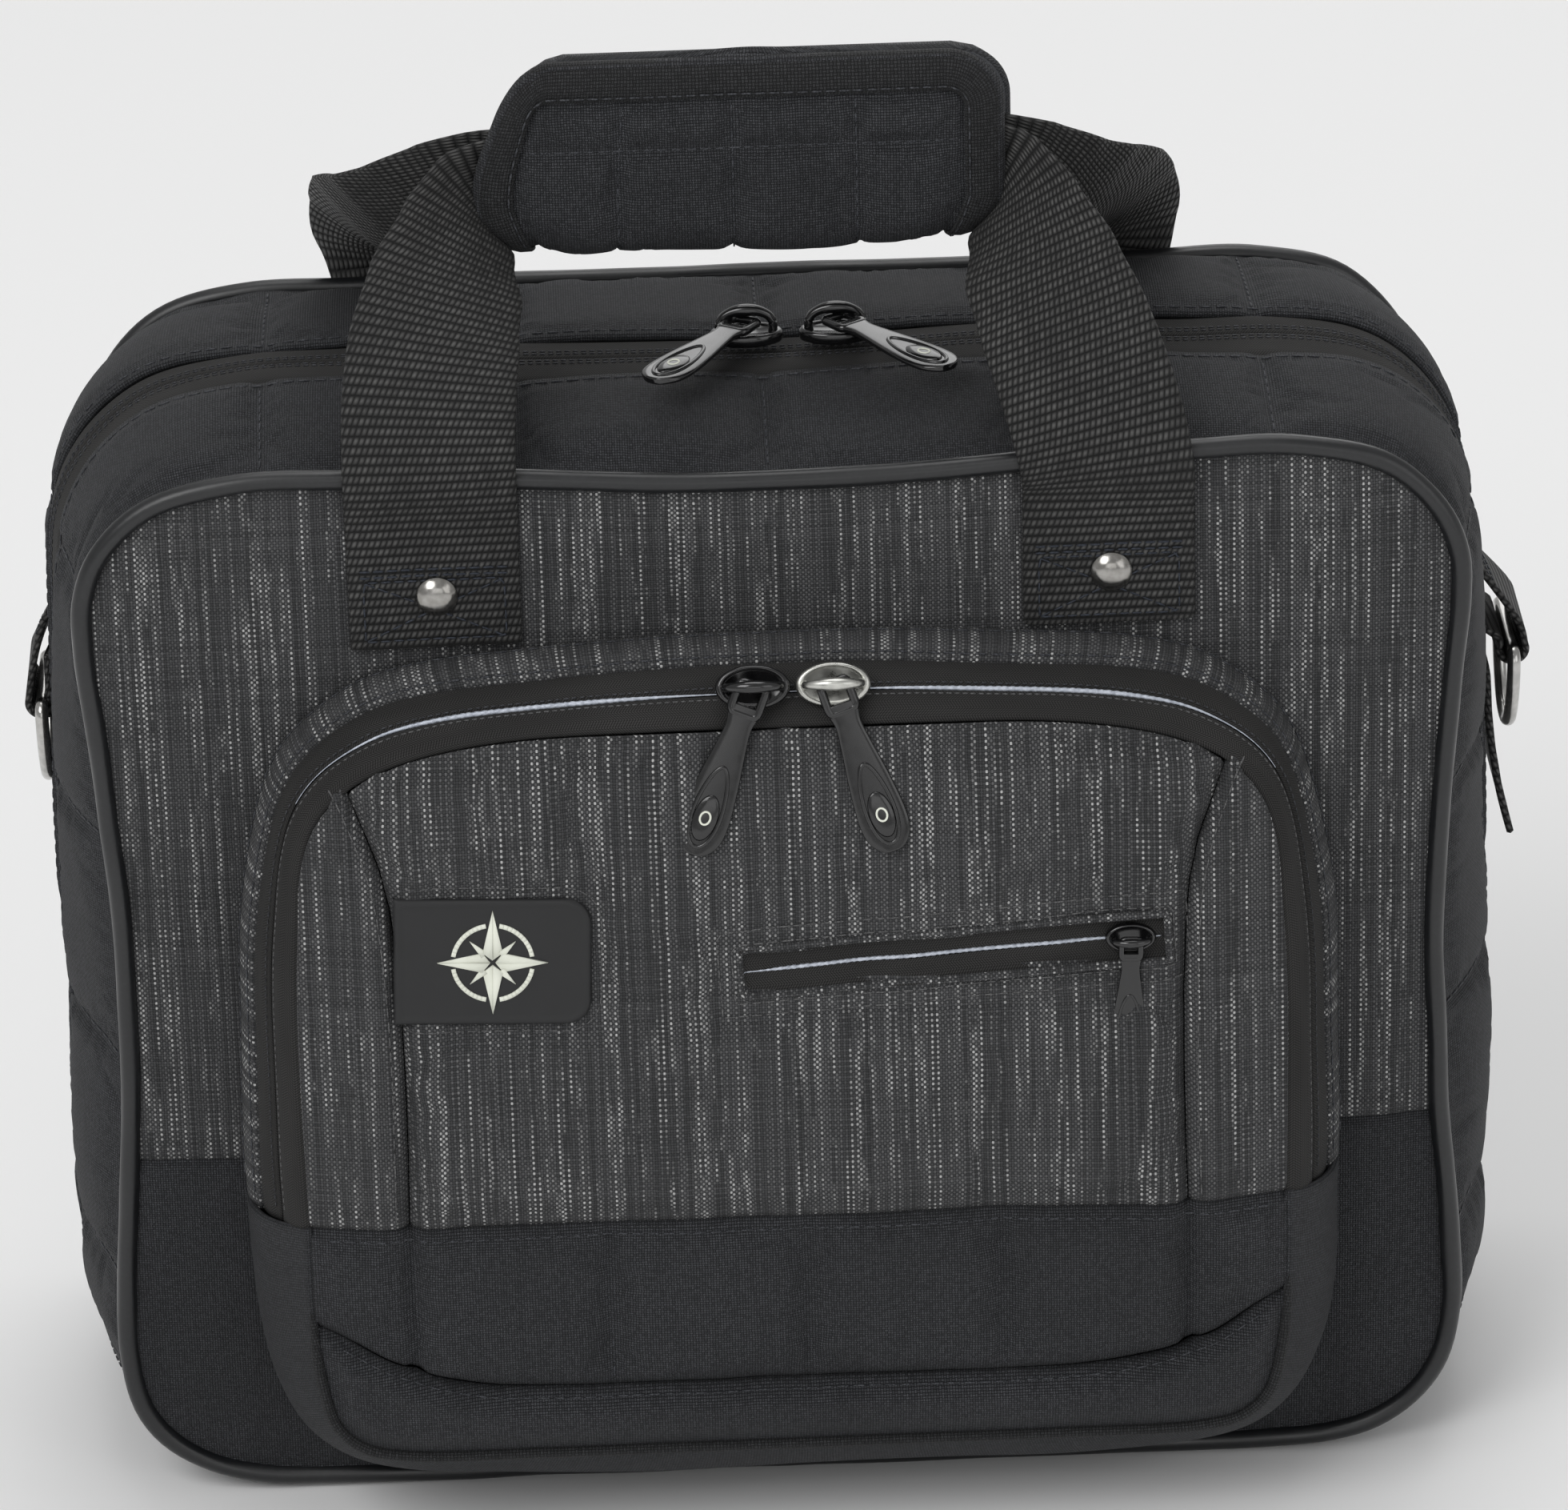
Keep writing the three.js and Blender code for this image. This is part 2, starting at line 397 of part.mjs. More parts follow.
// pocket sliders: on the coil at the top of the pocket, plates facing forwards and a little up
const U_TOP = 0.5;
function onPocketCoil(x, lift) {
  // u of the pocket side wall at the coil line for this x, near the top
  let a = 0.35, b = 0.65;
  for (let i = 0; i < 40; i++) { const m = (a + b) / 2; if (pocketSkin(m, S2, 0).x > x) a = m; else b = m; }
  const p = pocketSkin((a + b) / 2, S2, 0);
  return V(x, p.y - 0.53 * lift, p.z + 0.85 * lift);
}
pivots.pocket_left = slider("pocket_left", BLACK_METAL, BLACK_METAL, onPocketCoil(-5.5, 4.6), out(25), -112, 12, PULL_LEN);
pivots.pocket_right = slider("pocket_right", BARE_METAL, BLACK_METAL, onPocketCoil(12.5, 4.6), out(25), -71.5, 12, PULL_LEN);
{
  const x = 78, z = 153.6;
  pivots.small = slider("small", BLACK_METAL, BLACK_METAL, V(x, faceY(z) - GAP - 1 - 0.5, z), out(4.4), -92, 4, 28.5, 0.68);
}

// ---------------------------------------------------------------- handle webbing
const sx = (s) => [s * STRAP_X - WEB_W / 2, s * STRAP_X + WEB_W / 2];
for (const [s, side] of [[-1, "left"], [1, "right"]]) {
  const [x0, x1] = sx(s);
  add("strap_front_" + side, plate([[x0, STRAP_LOW_Z + 11.5], [x1, STRAP_LOW_Z + 11.5], [x1, STRAP_TOP_Z], [x0, STRAP_TOP_Z]], () => Y_FRONT - GAP - WEB_T, WEB_T), WEBBING);
  add("strap_rear_" + side, plate([[x0, STRAP_LOW_Z], [x1, STRAP_LOW_Z], [x1, STRAP_TOP_Z], [x0, STRAP_TOP_Z]], () => Y_REAR + GAP, WEB_T), WEBBING);
  for (const [where, y, dir] of [["front", Y_FRONT - 2 * GAP - WEB_T, -1], ["rear", Y_REAR + 2 * GAP + WEB_T, 1]]) {
    const dome = new THREE.LatheGeometry([[0, 0], [4.1, 0], [RIVET_R, 0.5], [4.2, 1.3], [2.9, 2.1], [1.3, 2.5], [0, 2.6]].map((q) => new THREE.Vector2(...q)), 14);
    dome.rotateX(dir < 0 ? Math.PI : 0).translate(s * STRAP_X + (where === "front" ? 0.5 : 0), y, RIVET_Z);
    add("rivet_" + where + "_" + side, dome, NICKEL);
  }
}
// a webbing ribbon through waypoints: centre, direction across its width, width
function ribbon(rows, n, t) {
  const c = new THREE.CatmullRomCurve3(rows.map((r) => V(...r[0])), false, "centripetal");
  const w = new THREE.CatmullRomCurve3(rows.map((r) => V(...r[1])), false, "catmullrom", 0.5);
  const N = rows.length - 1;
  return strip(n, 1, (u, k, v) => {
    const p = c.getPoint(u), d = c.getTangent(u).normalize(), across = w.getPoint(u).normalize();
    across.addScaledVector(d, -across.dot(d)).normalize();
    const nrm = new THREE.Vector3().crossVectors(d, across).normalize();
    const i = Math.min(N - 1, Math.floor(u * N)), f = u * N - i, width = lerp(rows[i][2], rows[i + 1][2], f);
    return p.addScaledVector(across, (v - 0.5) * width).addScaledVector(nrm, (k - 0.5) * t);
  });
}
const mirrorRows = (rows, change = (r) => r) => rows.map((r) => [[-r[0][0] , r[0][1], r[0][2]], [-r[1][0], r[1][1], r[1][2]], r[2]]).map(change).reverse();
const GRIP_IN = 32; // the webbing is gathered to this width inside the grip
const frontLeft = [
  [[-76, -54.7, STRAP_TOP_Z + 0.4], [1, 0, 0], WEB_W],
  [[-76, -57.4, 253], [1, 0, 0], WEB_W],
  [[-76, -57.9, 262], [1, 0, 0], WEB_W],
  [[-75.5, -53.5, 274], [1, 0, -0.02], WEB_W],
  [[-74.5, -44, 286.5], [1, 0.05, -0.12], WEB_W],
  [[-74, -31.5, 298], [0.9, 0.15, -0.45], WEB_W],
  [[-73.2, -19, 309], [0.6, 0.2, -0.8], 36],
  [[-69.5, -12.4, 316.2], [0.12, 0.05, -1], GRIP_IN],
  [[-64.2, -10.9, 318], [0, 0, -1], GRIP_IN],
  [[-40, -10.9, 318], [0, 0, -1], GRIP_IN],
];
const frontRight = mirrorRows(frontLeft, (r) => {
  const k = clamp((r[0][2] - 256) / 36, 0, 1); // this side leans towards the middle
  return [[r[0][0] - 8 * k, r[0][1], r[0][2]], r[1], r[2]];
});
add("handle_webbing_front", ribbon([...frontLeft, ...frontRight], 44, WEB_T), WEBBING);
const rearLeft = [
  [[-76, Y_REAR + GAP + WEB_T / 2, STRAP_TOP_Z + 0.4], [1, 0, 0], WEB_W],
  [[-76, 61.6, 254], [1, 0, 0], WEB_W],
  [[-78, 62.4, 262], [1, 0, -0.05], WEB_W],
  [[-86, 58, 272], [0.9, 0.05, -0.35], WEB_W],
  [[-92, 46, 281], [0.7, 0.2, -0.62], WEB_W],
  [[-93, 31, 290], [0.4, 0.3, -0.85], WEB_W],
  [[-87, 15, 301], [0.2, 0.25, -0.95], WEB_W],
  [[-77, 2, 311], [0.08, 0.1, -1], 36],
  [[-69.5, -4.2, 317.4], [0, 0, -1], GRIP_IN],
  [[-63.5, -5.4, 318], [0, 0, -1], GRIP_IN],
  [[-40, -5.4, 318], [0, 0, -1], GRIP_IN],
];
const rearRight = mirrorRows(rearLeft, (r) => {
  const k = clamp((r[0][2] - 296) / 20, 0, 1);
  return [[r[0][0] - 8 * k, r[0][1], r[0][2]], r[1], r[2]];
});
add("handle_webbing_rear", ribbon([...rearLeft, ...rearRight], 48, WEB_T), WEBBING);

// ---------------------------------------------------------------- wrap grip
const GRIP_T = 6, SLOT = 4, GRIP_Y = -8; // wall thickness, half width of the slot, its centre
const GRIP_FOLD_Z = GRIP_LOW_Z + GRIP_T + SLOT; // centre of the lower fold
function gripHalf(z, top) {
  const low = clamp((z - GRIP_LOW_Z) / 14, 0, 1), full = lerp(GRIP_LEN / 2 - 8, GRIP_LEN / 2, Math.sqrt(low));
  const r = 12, over = clamp(z - (top - r), 0, r);
  return full - (r - Math.sqrt(r * r - over * over));
}
// from the rear end of the lower fold, under the webbing and up the front
const FOLD_STEPS = 6, WALL_ZS = [308, 316, 324, 330, 335, 338.3, GRIP_TOP_Z];
add("grip_front", strip(1, FOLD_STEPS + WALL_ZS.length, (u, w, v) => {
  const k = Math.round(v * (FOLD_STEPS + WALL_ZS.length)), r = SLOT + (w > 0.5 ? GRIP_T : 0);
  let y, z;
  if (k <= FOLD_STEPS) { const a = (-k / FOLD_STEPS) * Math.PI; y = GRIP_Y + r * Math.cos(a); z = GRIP_FOLD_Z + r * Math.sin(a); }
  else { y = GRIP_Y - r; z = WALL_ZS[k - FOLD_STEPS - 1]; }
  const zo = k <= FOLD_STEPS ? GRIP_FOLD_Z + (SLOT + GRIP_T) * Math.sin((-k / FOLD_STEPS) * Math.PI) : z;
  return V(GRIP_X + (u * 2 - 1) * gripHalf(zo, GRIP_TOP_Z), y, z);
}), BLACK_CLOTH);
const FLAP_TOP = 337, FLAP_ZS = [GRIP_FOLD_Z + GAP, 312, 322, 328, 332.5, 335.5, FLAP_TOP];
add("grip_flap", strip(1, FLAP_ZS.length - 1, (u, w, v) => {
  const z = FLAP_ZS[Math.round(v * (FLAP_ZS.length - 1))];
  return V(GRIP_X + 3 + (u * 2 - 1) * (gripHalf(z, FLAP_TOP) - 1), GRIP_Y + SLOT + (w > 0.5 ? GRIP_T : 0), z);
}), BLACK_CLOTH);

// ---------------------------------------------------------------- D-rings
const skinX = (z, y) => { const u = body.uAtZ(z); return skin(u, y, 0).x; };
const WIRE_R = 1.6, BAR_Z = 175.5, RING_DROP = 24, RING_HALF = 14.2;
for (const [s, side, outer] of [[-1, "left", 174.5], [1, "right", 180]]) {
  const xBar = outer - 4;
  const a = skinX(197, DRING_Y - 12.5) + 0.4, b = skinX(176, DRING_Y - 12.5) + 0.4, bl = skinX(171, DRING_Y - 12.5) + 0.4;
  const prof = [[a, 197.5], [a + 2.6, 198], [outer - 1.2, 180]];
  for (let i = 0; i <= 5; i++) { const t = (20 - i * 22) * (Math.PI / 180); prof.push([xBar + 4 * Math.cos(t), BAR_Z + 4 * Math.sin(t)]); }
  prof.push([Math.max(b, bl), BAR_Z - 3.2], [b, BAR_Z + 4]);
  const shape = new THREE.Shape(prof.map(([x, z]) => new THREE.Vector2(s * x, z)));
  const hole = [];
  for (let i = 0; i < 10; i++) hole.push(new THREE.Vector2(s * (xBar + 2.2 * Math.cos((i / 10) * 2 * Math.PI)), BAR_Z + 2.2 * Math.sin((i / 10) * 2 * Math.PI)));
  shape.holes.push(new THREE.Path(hole));
  const g = new THREE.ExtrudeGeometry(shape, { depth: 25, steps: 1, bevelEnabled: false });
  g.rotateX(Math.PI / 2).translate(0, DRING_Y + 12.5, 0);
  add("dring_tab_" + side, g, WEBBING);
  // the ring: a straight bar through the tab, and a bow below it
  const pts = [];
  const D = [[-RING_HALF, 0], [-9, 0], [0, 0], [9, 0], [RING_HALF, 0], [RING_HALF + 1.4, -1.6], [RING_HALF + 1.2, -6], [13, -13], [8.4, -19.5], [3, -22.4], [-3, -22.4], [-8.4, -19.5], [-13, -13], [-RING_HALF - 1.2, -6], [-RING_HALF - 1.4, -1.6]];
  const curve = new THREE.CatmullRomCurve3(D.map(([y, z]) => V(s * xBar, DRING_Y + y, BAR_Z + z)), true, "centripetal");
  const NR = 26;
  add("dring_" + side, loop(NR, 6, (u, k) => {
    const p = curve.getPoint(u), t = curve.getTangent(u).normalize();
    const side2 = V(1, 0, 0), n = new THREE.Vector3().crossVectors(t, side2).normalize(), q = ((k + 0.5) / 6) * 2 * Math.PI;
    return p.addScaledVector(side2, WIRE_R * Math.cos(q)).addScaledVector(n, WIRE_R * Math.sin(q));
  }), NICKEL);
  pivots["dring_" + side] = { x: s * xBar, y: DRING_Y, z: BAR_Z };
}
// loose webbing tail under the right tab
{
  const x0 = skinX(168, DRING_Y - 12.5) + 0.4;
  const g = new THREE.ExtrudeGeometry(new THREE.Shape([[x0, 169], [x0 + 2, 169], [x0 + 3.6, 150], [x0 + 8, 128], [x0 + 6, 127.6], [x0 + 1.6, 150]].map((q) => new THREE.Vector2(...q))), { depth: 25, steps: 1, bevelEnabled: false });
  g.rotateX(Math.PI / 2).translate(0, DRING_Y + 12.5, 0);
  add("webbing_tail_right", g, WEBBING);
}

root.userData.pivots = pivots;

export default root;
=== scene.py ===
import bpy
import math
import numpy as np
from mathutils import Matrix, Vector


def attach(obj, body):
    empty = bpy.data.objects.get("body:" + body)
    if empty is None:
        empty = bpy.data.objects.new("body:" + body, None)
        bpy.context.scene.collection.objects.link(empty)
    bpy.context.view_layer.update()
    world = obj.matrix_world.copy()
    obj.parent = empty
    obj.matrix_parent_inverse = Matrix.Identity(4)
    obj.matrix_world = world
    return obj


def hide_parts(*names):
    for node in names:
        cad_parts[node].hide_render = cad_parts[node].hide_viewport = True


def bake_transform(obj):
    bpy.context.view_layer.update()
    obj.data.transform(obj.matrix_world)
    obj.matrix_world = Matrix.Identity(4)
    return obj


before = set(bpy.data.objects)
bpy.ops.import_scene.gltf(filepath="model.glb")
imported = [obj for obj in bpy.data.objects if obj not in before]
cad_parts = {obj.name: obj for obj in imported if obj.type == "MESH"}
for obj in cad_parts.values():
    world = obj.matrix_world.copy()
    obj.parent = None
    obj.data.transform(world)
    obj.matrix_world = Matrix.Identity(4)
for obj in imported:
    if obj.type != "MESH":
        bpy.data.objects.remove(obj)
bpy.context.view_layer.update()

MM = 0.001

# ------------------------------------------------------------------ dimensions shared with the CAD source (mm)
GAP = 0.3
Y_FRONT, Y_REAR = -53.5, 57.5
PIPING_R = 2.35
PANEL_T, GUSSET_T = 3.0, 2.2
ZIP_END_Z, SPLIT_Z = 32.0, 88.0
COIL_Y, TAPE_FRONT_Y, TAPE_REAR_Y = -1.5, -13.4, 8.4
REAR_LIFT, FRONT_SAG = 2.0, 4.0
WEB_W, WEB_T, STRAP_X = 38.1, 1.8, 76.0
STRAP_LOW_Z, STRAP_TOP_Z, RIVET_Z = 206.0, 246.0, 230.0
POCKET_X, POCKET_BASE_Y, HINGE_Z = 1.5, -53.8, 88.0
TOP_Y, FOLD_Y, LOW_Y = -82.0, -91.0, -90.0
S1, S2 = 0.46, 0.755
GRIP_X, GRIP_LEN, GRIP_LOW_Z, GRIP_TOP_Z = -4.0, 118.0, 292.0, 340.0
PULL_LEN = 41.0
DRING_Y = 25.0
SLIDER_LEN, SLIDER_WID, SLIDER_T, BAR_H = 15.0, 9.5, 3.0, 2.0

BODY_HALF = [
    [0, 2.5], [40, 2.5], [80, 2.5], [112, 2.6], [126, 3.6], [137.5, 6.9], [147, 13.6], [153, 23], [155.7, 38],
    [155.2, 55], [153.6, 75], [152, 95], [151, 115], [150.7, 135], [151.2, 155], [152.4, 175], [154.2, 198],
    [155.8, 219], [155.3, 230.5], [150.8, 241.5], [139, 252.4], [119, 257.4], [95, 257.6], [60, 257.6], [30, 257.6], [0, 257.6],
]
POCKET_BASE_HALF = [
    [0, 9], [35, 9], [70, 10], [94, 12], [106, 16], [116, 25], [122, 38], [125, 55], [126, 75], [126.5, 92],
    [126, 110], [125.5, 127], [124.5, 150], [122.5, 165], [120, 177], [117, 187], [112, 196], [104, 203.5],
    [94, 209.5], [80, 213], [60, 215], [30, 217], [0, 217.5],
]
POCKET_FACE_HALF = [
    [0, 27], [30, 27], [60, 27], [92, 27.5], [102, 30], [108, 36], [111, 48], [112.5, 65], [112.6, 88], [113, 115], [113, 140],
    [112, 160], [110.5, 176], [107, 186], [100, 194], [90, 199.5], [78, 203], [60, 205.5], [30, 206.3], [0, 206.3],
]
FACE_SEAM = [[101, 199], [98, 191.5], [95, 184], [92, 175], [90.2, 166], [89.2, 155], [88.6, 140], [88.4, 122], [88.6, 104], [89, 88]]
BAND_LOW = [[112.5, 64], [101, 56], [90, 50.5], [78, 46.8], [66, 45.2], [33, 45], [0, 45]]
BULGE_Z = [0, 4, 14, 30, 50, 90, 130, 170, 213, 240, 262]
BULGE_R = [3, 3.4, 6, 10.5, 13.5, 16.5, 18.3, 16.5, 10, 7.6, 7]


# ------------------------------------------------------------------ small maths
def lerp(a, b, t):
    return a + (b - a) * t


def clamp(x, a=0.0, b=1.0):
    return np.clip(x, a, b)


def smooth(x, a, b):
    t = clamp((x - a) / (b - a))
    return t * t * (3 - 2 * t)


def unit(v):
    return v / np.maximum(np.linalg.norm(v, axis=-1, keepdims=True), 1e-12)


_rng = np.random.default_rng(7)
_WAVES = [( _rng.uniform(-1, 1, (14, 2)), _rng.uniform(0, 2 * np.pi, 14)) for _ in range(12)]


def soft(x, y, seed=0):
    """Smooth seeded noise, about -1 to 1, with features about one unit across."""
    d, ph = _WAVES[seed % 12]
    d = unit(d) * (0.55 + 0.9 * np.abs(d[:, :1]))
    out = np.zeros(np.broadcast(x, y).shape)
    for k in range(len(ph)):
        out = out + np.sin(2.2 * (x * d[k, 0] + y * d[k, 1]) + ph[k] + 1.3 * np.sin(0.9 * (x * d[k, 1] - y * d[k, 0]) + 2 * ph[k]))
    return out / 4.2


def catmull(points, closed, per=60):
    """Centripetal Catmull-Rom points."""
    P = np.array(points, float)
    n = len(P)
    out = []
    for i in range(n if closed else n - 1):
        p1, p2 = P[i], P[(i + 1) % n]
        p0 = P[i - 1] if (closed or i > 0) else 2 * P[0] - P[1]
        p3 = P[(i + 2) % n] if (closed or i + 2 < n) else 2 * P[-1] - P[-2]
        d0, d1, d2 = (max(np.linalg.norm(b - a) ** 0.5, 1e-4) for a, b in ((p0, p1), (p1, p2), (p2, p3)))
        t1 = ((p1 - p0) / d0 - (p2 - p0) / (d0 + d1) + (p2 - p1) / d1) * d1
        t2 = ((p2 - p1) / d1 - (p3 - p1) / (d1 + d2) + (p3 - p2) / d2) * d1
        w = np.linspace(0, 1, per, endpoint=False)[:, None]
        out.append(p1 + t1 * w + (-3 * p1 + 3 * p2 - 2 * t1 - t2) * w ** 2 + (2 * p1 - 2 * p2 + t1 + t2) * w ** 3)
    out = np.concatenate(out)
    return out if closed else np.concatenate([out, P[-1:]])


def resample(path, step=None, n=None, closed=False):
    P = np.array(path, float)
    if closed:
        P = np.concatenate([P, P[:1]])
    L = np.concatenate([[0], np.cumsum(np.linalg.norm(np.diff(P, axis=0), axis=1))])
    n = n or max(2, int(round(L[-1] / step)) + 1)
    s = np.linspace(0, L[-1], n)
    return np.stack([np.interp(s, L, P[:, k]) for k in range(P.shape[1])], 1)


class Outline:
    """Closed outline, u = 0 at the bottom centre, going right, up and round."""

    def __init__(self, half, dx=0.0):
        pts = [[x + dx, z] for x, z in half] + [[-x + dx, z] for x, z in half[1:-1][::-1]]
        P = catmull(pts, True)
        t = unit(np.roll(P, -1, 0) - np.roll(P, 1, 0))
        Q = np.concatenate([P, P[:1]])
        self.L = np.concatenate([[0], np.cumsum(np.linalg.norm(np.diff(Q, axis=0), axis=1))])
        self.total = self.L[-1]
        self.Q, self.T = Q, np.concatenate([t, t[:1]])

    def at(self, u):
        s = (np.asarray(u, float) % 1.0) * self.total
        x, z = np.interp(s, self.L, self.Q[:, 0]), np.interp(s, self.L, self.Q[:, 1])
        tx, tz = np.interp(s, self.L, self.T[:, 0]), np.interp(s, self.L, self.T[:, 1])
        k = np.hypot(tx, tz)
        return x, z, tz / k, -tx / k

    def u_at_z(self, z):
        a, b = 0.0, 0.5
        for _ in range(40):
            m = (a + b) / 2
            if self.at(m)[1] < z:
                a = m
            else:
                b = m
        return (a + b) / 2

    def polygon(self, n, off):
        x, z, nx, nz = self.at(np.arange(n) / n)
        return np.stack([x + nx * off, z + nz * off], 1)

    def rows(self, off, z0, z1, step, extra=()):
        """Heights and half widths of rows that follow the outline's right side, from its flat bottom to its flat top."""
        u = np.linspace(0.0, 0.5, 4000)
        x, z, nx, nz = self.at(u)
        cx = (self.Q[:, 0].max() + self.Q[:, 0].min()) / 2
        X, Z = x + nx * off - cx, z + nz * off
        Z = np.maximum.accumulate(Z)
        flat0, flat1 = Z[0] + 0.25, Z[-1] - 0.25
        z0, z1 = max(z0, flat0), min(z1, flat1)
        keep = (Z >= z0) & (Z <= z1)
        P = np.stack([X[keep], Z[keep]], 1)
        P = np.concatenate([[[np.interp(z0, Z, X), z0]], P, [[np.interp(z1, Z, X), z1]]])
        P = resample(P, step=step)
        return P[:, 1], P[:, 0]


body = Outline(BODY_HALF)
pbase = Outline(POCKET_BASE_HALF, POCKET_X)
pface = Outline(POCKET_FACE_HALF, POCKET_X)
U_END = body.u_at_z(ZIP_END_Z)
U_POCKET = pface.u_at_z(HINGE_Z)


def poly_distance(poly, x, z):
    """Distance from points to a closed polyline."""
    P = np.asarray(poly)
    sh = np.shape(x)
    q = np.stack([np.ravel(x), np.ravel(z)], 1)
    best = np.full(len(q), 1e9)
    for a, b in zip(P, np.roll(P, -1, 0)):
        d = b - a
        t = clamp(((q - a) @ d) / max(d @ d, 1e-9))
        best = np.minimum(best, np.hypot(*(q - a - t[:, None] * d).T))
    return best.reshape(sh)


def top_shift(x, z, y):
    s = clamp((y - Y_FRONT) / (Y_REAR - Y_FRONT))
    high = clamp((z - 225) / 30)
    sag = np.where(np.abs(x) < 95, np.cos(np.pi * x / 190) ** 2, 0)
    return high * (REAR_LIFT * s - FRONT_SAG * sag * (1 - s) ** 3)


def face_y(z):
    z = np.asarray(z, float)
    return np.where(z >= HINGE_Z, lerp(FOLD_Y, TOP_Y, (z - HINGE_Z) / (206.3 - HINGE_Z)),
                    lerp(LOW_Y, FOLD_Y, clamp((z - 27) / (HINGE_Z - 27))))


# ------------------------------------------------------------------ meshes
def to_object(name, verts, faces, uv=None, mats=(), mat_index=None, flat=False):
    """verts in mm. uv: one (u, v) in mm for each face corner."""
    me = bpy.data.meshes.new(name)
    V = np.asarray(verts, float) * MM
    me.from_pydata(V.tolist(), [], [list(map(int, f)) for f in faces])
    if uv is not None:
        layer = me.uv_layers.new(name="cloth")
        layer.data.foreach_set("uv", (np.asarray(uv, np.float32) * 0.01).ravel())
    for m in mats:
        me.materials.append(m)
    if mat_index is not None:
        me.polygons.foreach_set("material_index", np.asarray(mat_index, np.int32))
    me.polygons.foreach_set("use_smooth", np.full(len(faces), not flat))
    me.update()
    me.validate()
    o = bpy.data.objects.new(name, me)
    bpy.context.scene.collection.objects.link(o)
    return o


def grid_normals(P, closed=False):
    if closed:
        du = np.roll(P, -1, 0) - np.roll(P, 1, 0)
    else:
        du = np.gradient(P, axis=0)
    dv = np.gradient(P, axis=1)
    n = np.cross(du, dv)
    k = np.linalg.norm(n, axis=-1, keepdims=True)
    n = np.where(k > 1e-9, n / np.maximum(k, 1e-12), 0)
    bad = (k[..., 0] <= 1e-9)
    if bad.any():
        good = unit(n[~bad].mean(0)[None])[0]
        n[bad] = good
    return n


def shell(name, P, UV, t, mats, sgn=1, closed=False, rim=0.35, N=None):
    """A closed thin shell under a grid of outer points P (n, m, 3). mats: outer, or outer and inner."""
    n, m = P.shape[:2]
    N = grid_normals(P, closed) * sgn if N is None else N
    tt = np.asarray(t, float)
    tt = tt[..., None] if tt.ndim else tt
    inner = P - N * tt
    idx = np.arange(n * m).reshape(n, m)
    verts = [P.reshape(-1, 3), inner.reshape(-1, 3)]
    base = n * m
    ii, jj = np.meshgrid(np.arange(n if closed else n - 1), np.arange(m - 1), indexing="ij")
    ii, jj = ii.ravel(), jj.ravel()
    i2 = (ii + 1) % n
    q = np.stack([idx[ii, jj], idx[i2, jj], idx[i2, jj + 1], idx[ii, jj + 1]], 1)
    i2u = ii + 1
    uvq = np.stack([UV[ii, jj], UV[np.minimum(i2u, UV.shape[0] - 1), jj], UV[np.minimum(i2u, UV.shape[0] - 1), jj + 1], UV[ii, jj + 1]], 1)
    if sgn < 0:
        q, uvq = q[:, ::-1], uvq[:, ::-1]
    faces, uvs = [q, q[:, ::-1] + base], [uvq, uvq[:, ::-1]]
    mi = [np.zeros(len(q), int), np.full(len(q), 1 if len(mats) > 1 else 0)]
    loops = []
    if closed:
        loops.append([(i, 0) for i in range(n)])
        loops.append([(i, m - 1) for i in range(n - 1, -1, -1)])
    else:
        loops.append([(i, 0) for i in range(n)] + [(n - 1, j) for j in range(1, m)] + [(i, m - 1) for i in range(n - 2, -1, -1)] + [(0, j) for j in range(m - 2, 0, -1)])
    count = 2 * base
    for lp in loops:
        a = np.array(lp)
        bi = idx[a[:, 0], a[:, 1]]
        Pb, Nb = P[a[:, 0], a[:, 1]], N[a[:, 0], a[:, 1]]
        ci = np.clip(a[:, 0], 1, n - 2) if not closed else a[:, 0]
        cj = np.clip(a[:, 1], 1, m - 2)
        E = Pb - P[ci, cj]
        E = unit(E - (E * Nb).sum(-1, keepdims=True) * Nb)
        tb = tt[a[:, 0], a[:, 1]] if np.ndim(tt) else tt
        mid = Pb - Nb * tb * 0.5 + E * np.minimum(tb, 2.5) * rim
        verts.append(mid)
        k = len(lp)
        A, B = bi, np.roll(bi, -1)
        C = count + np.arange(k)
        D = np.roll(C, -1)
        f1 = np.stack([B, A, C, D], 1)
        f2 = np.stack([D, C, A + base, B + base], 1)
        ub = UV[np.minimum(a[:, 0], UV.shape[0] - 1), a[:, 1]]
        ua = np.roll(ub, -1, 0)
        if closed:  # the last step round would run the texture backwards
            step = ub[1] - ub[0]
            ua[-1] = ub[-1] + (step if np.all(np.isfinite(step)) else 0)
        Eu = unit(ub - UV[np.minimum(ci, UV.shape[0] - 1), cj])
        eo = Eu * np.minimum(np.max(tb), 2.5) * 0.5
        g1 = np.stack([ua, ub, ub + eo, ua + np.roll(eo, -1, 0)], 1)
        g2 = np.stack([ua + np.roll(eo, -1, 0), ub + eo, ub + 2 * eo, ua + 2 * np.roll(eo, -1, 0)], 1)
        if sgn < 0:
            f1, f2, g1, g2 = f1[:, ::-1], f2[:, ::-1], g1[:, ::-1], g2[:, ::-1]
        faces += [f1, f2]
        uvs += [g1, g2]
        mi += [np.zeros(2 * k, int)]
        count += k
    faces = np.concatenate(faces)
    uvs = np.concatenate(uvs)
    return to_object(name, np.concatenate(verts), faces, uvs.reshape(-1, 2), mats, np.concatenate(mi))


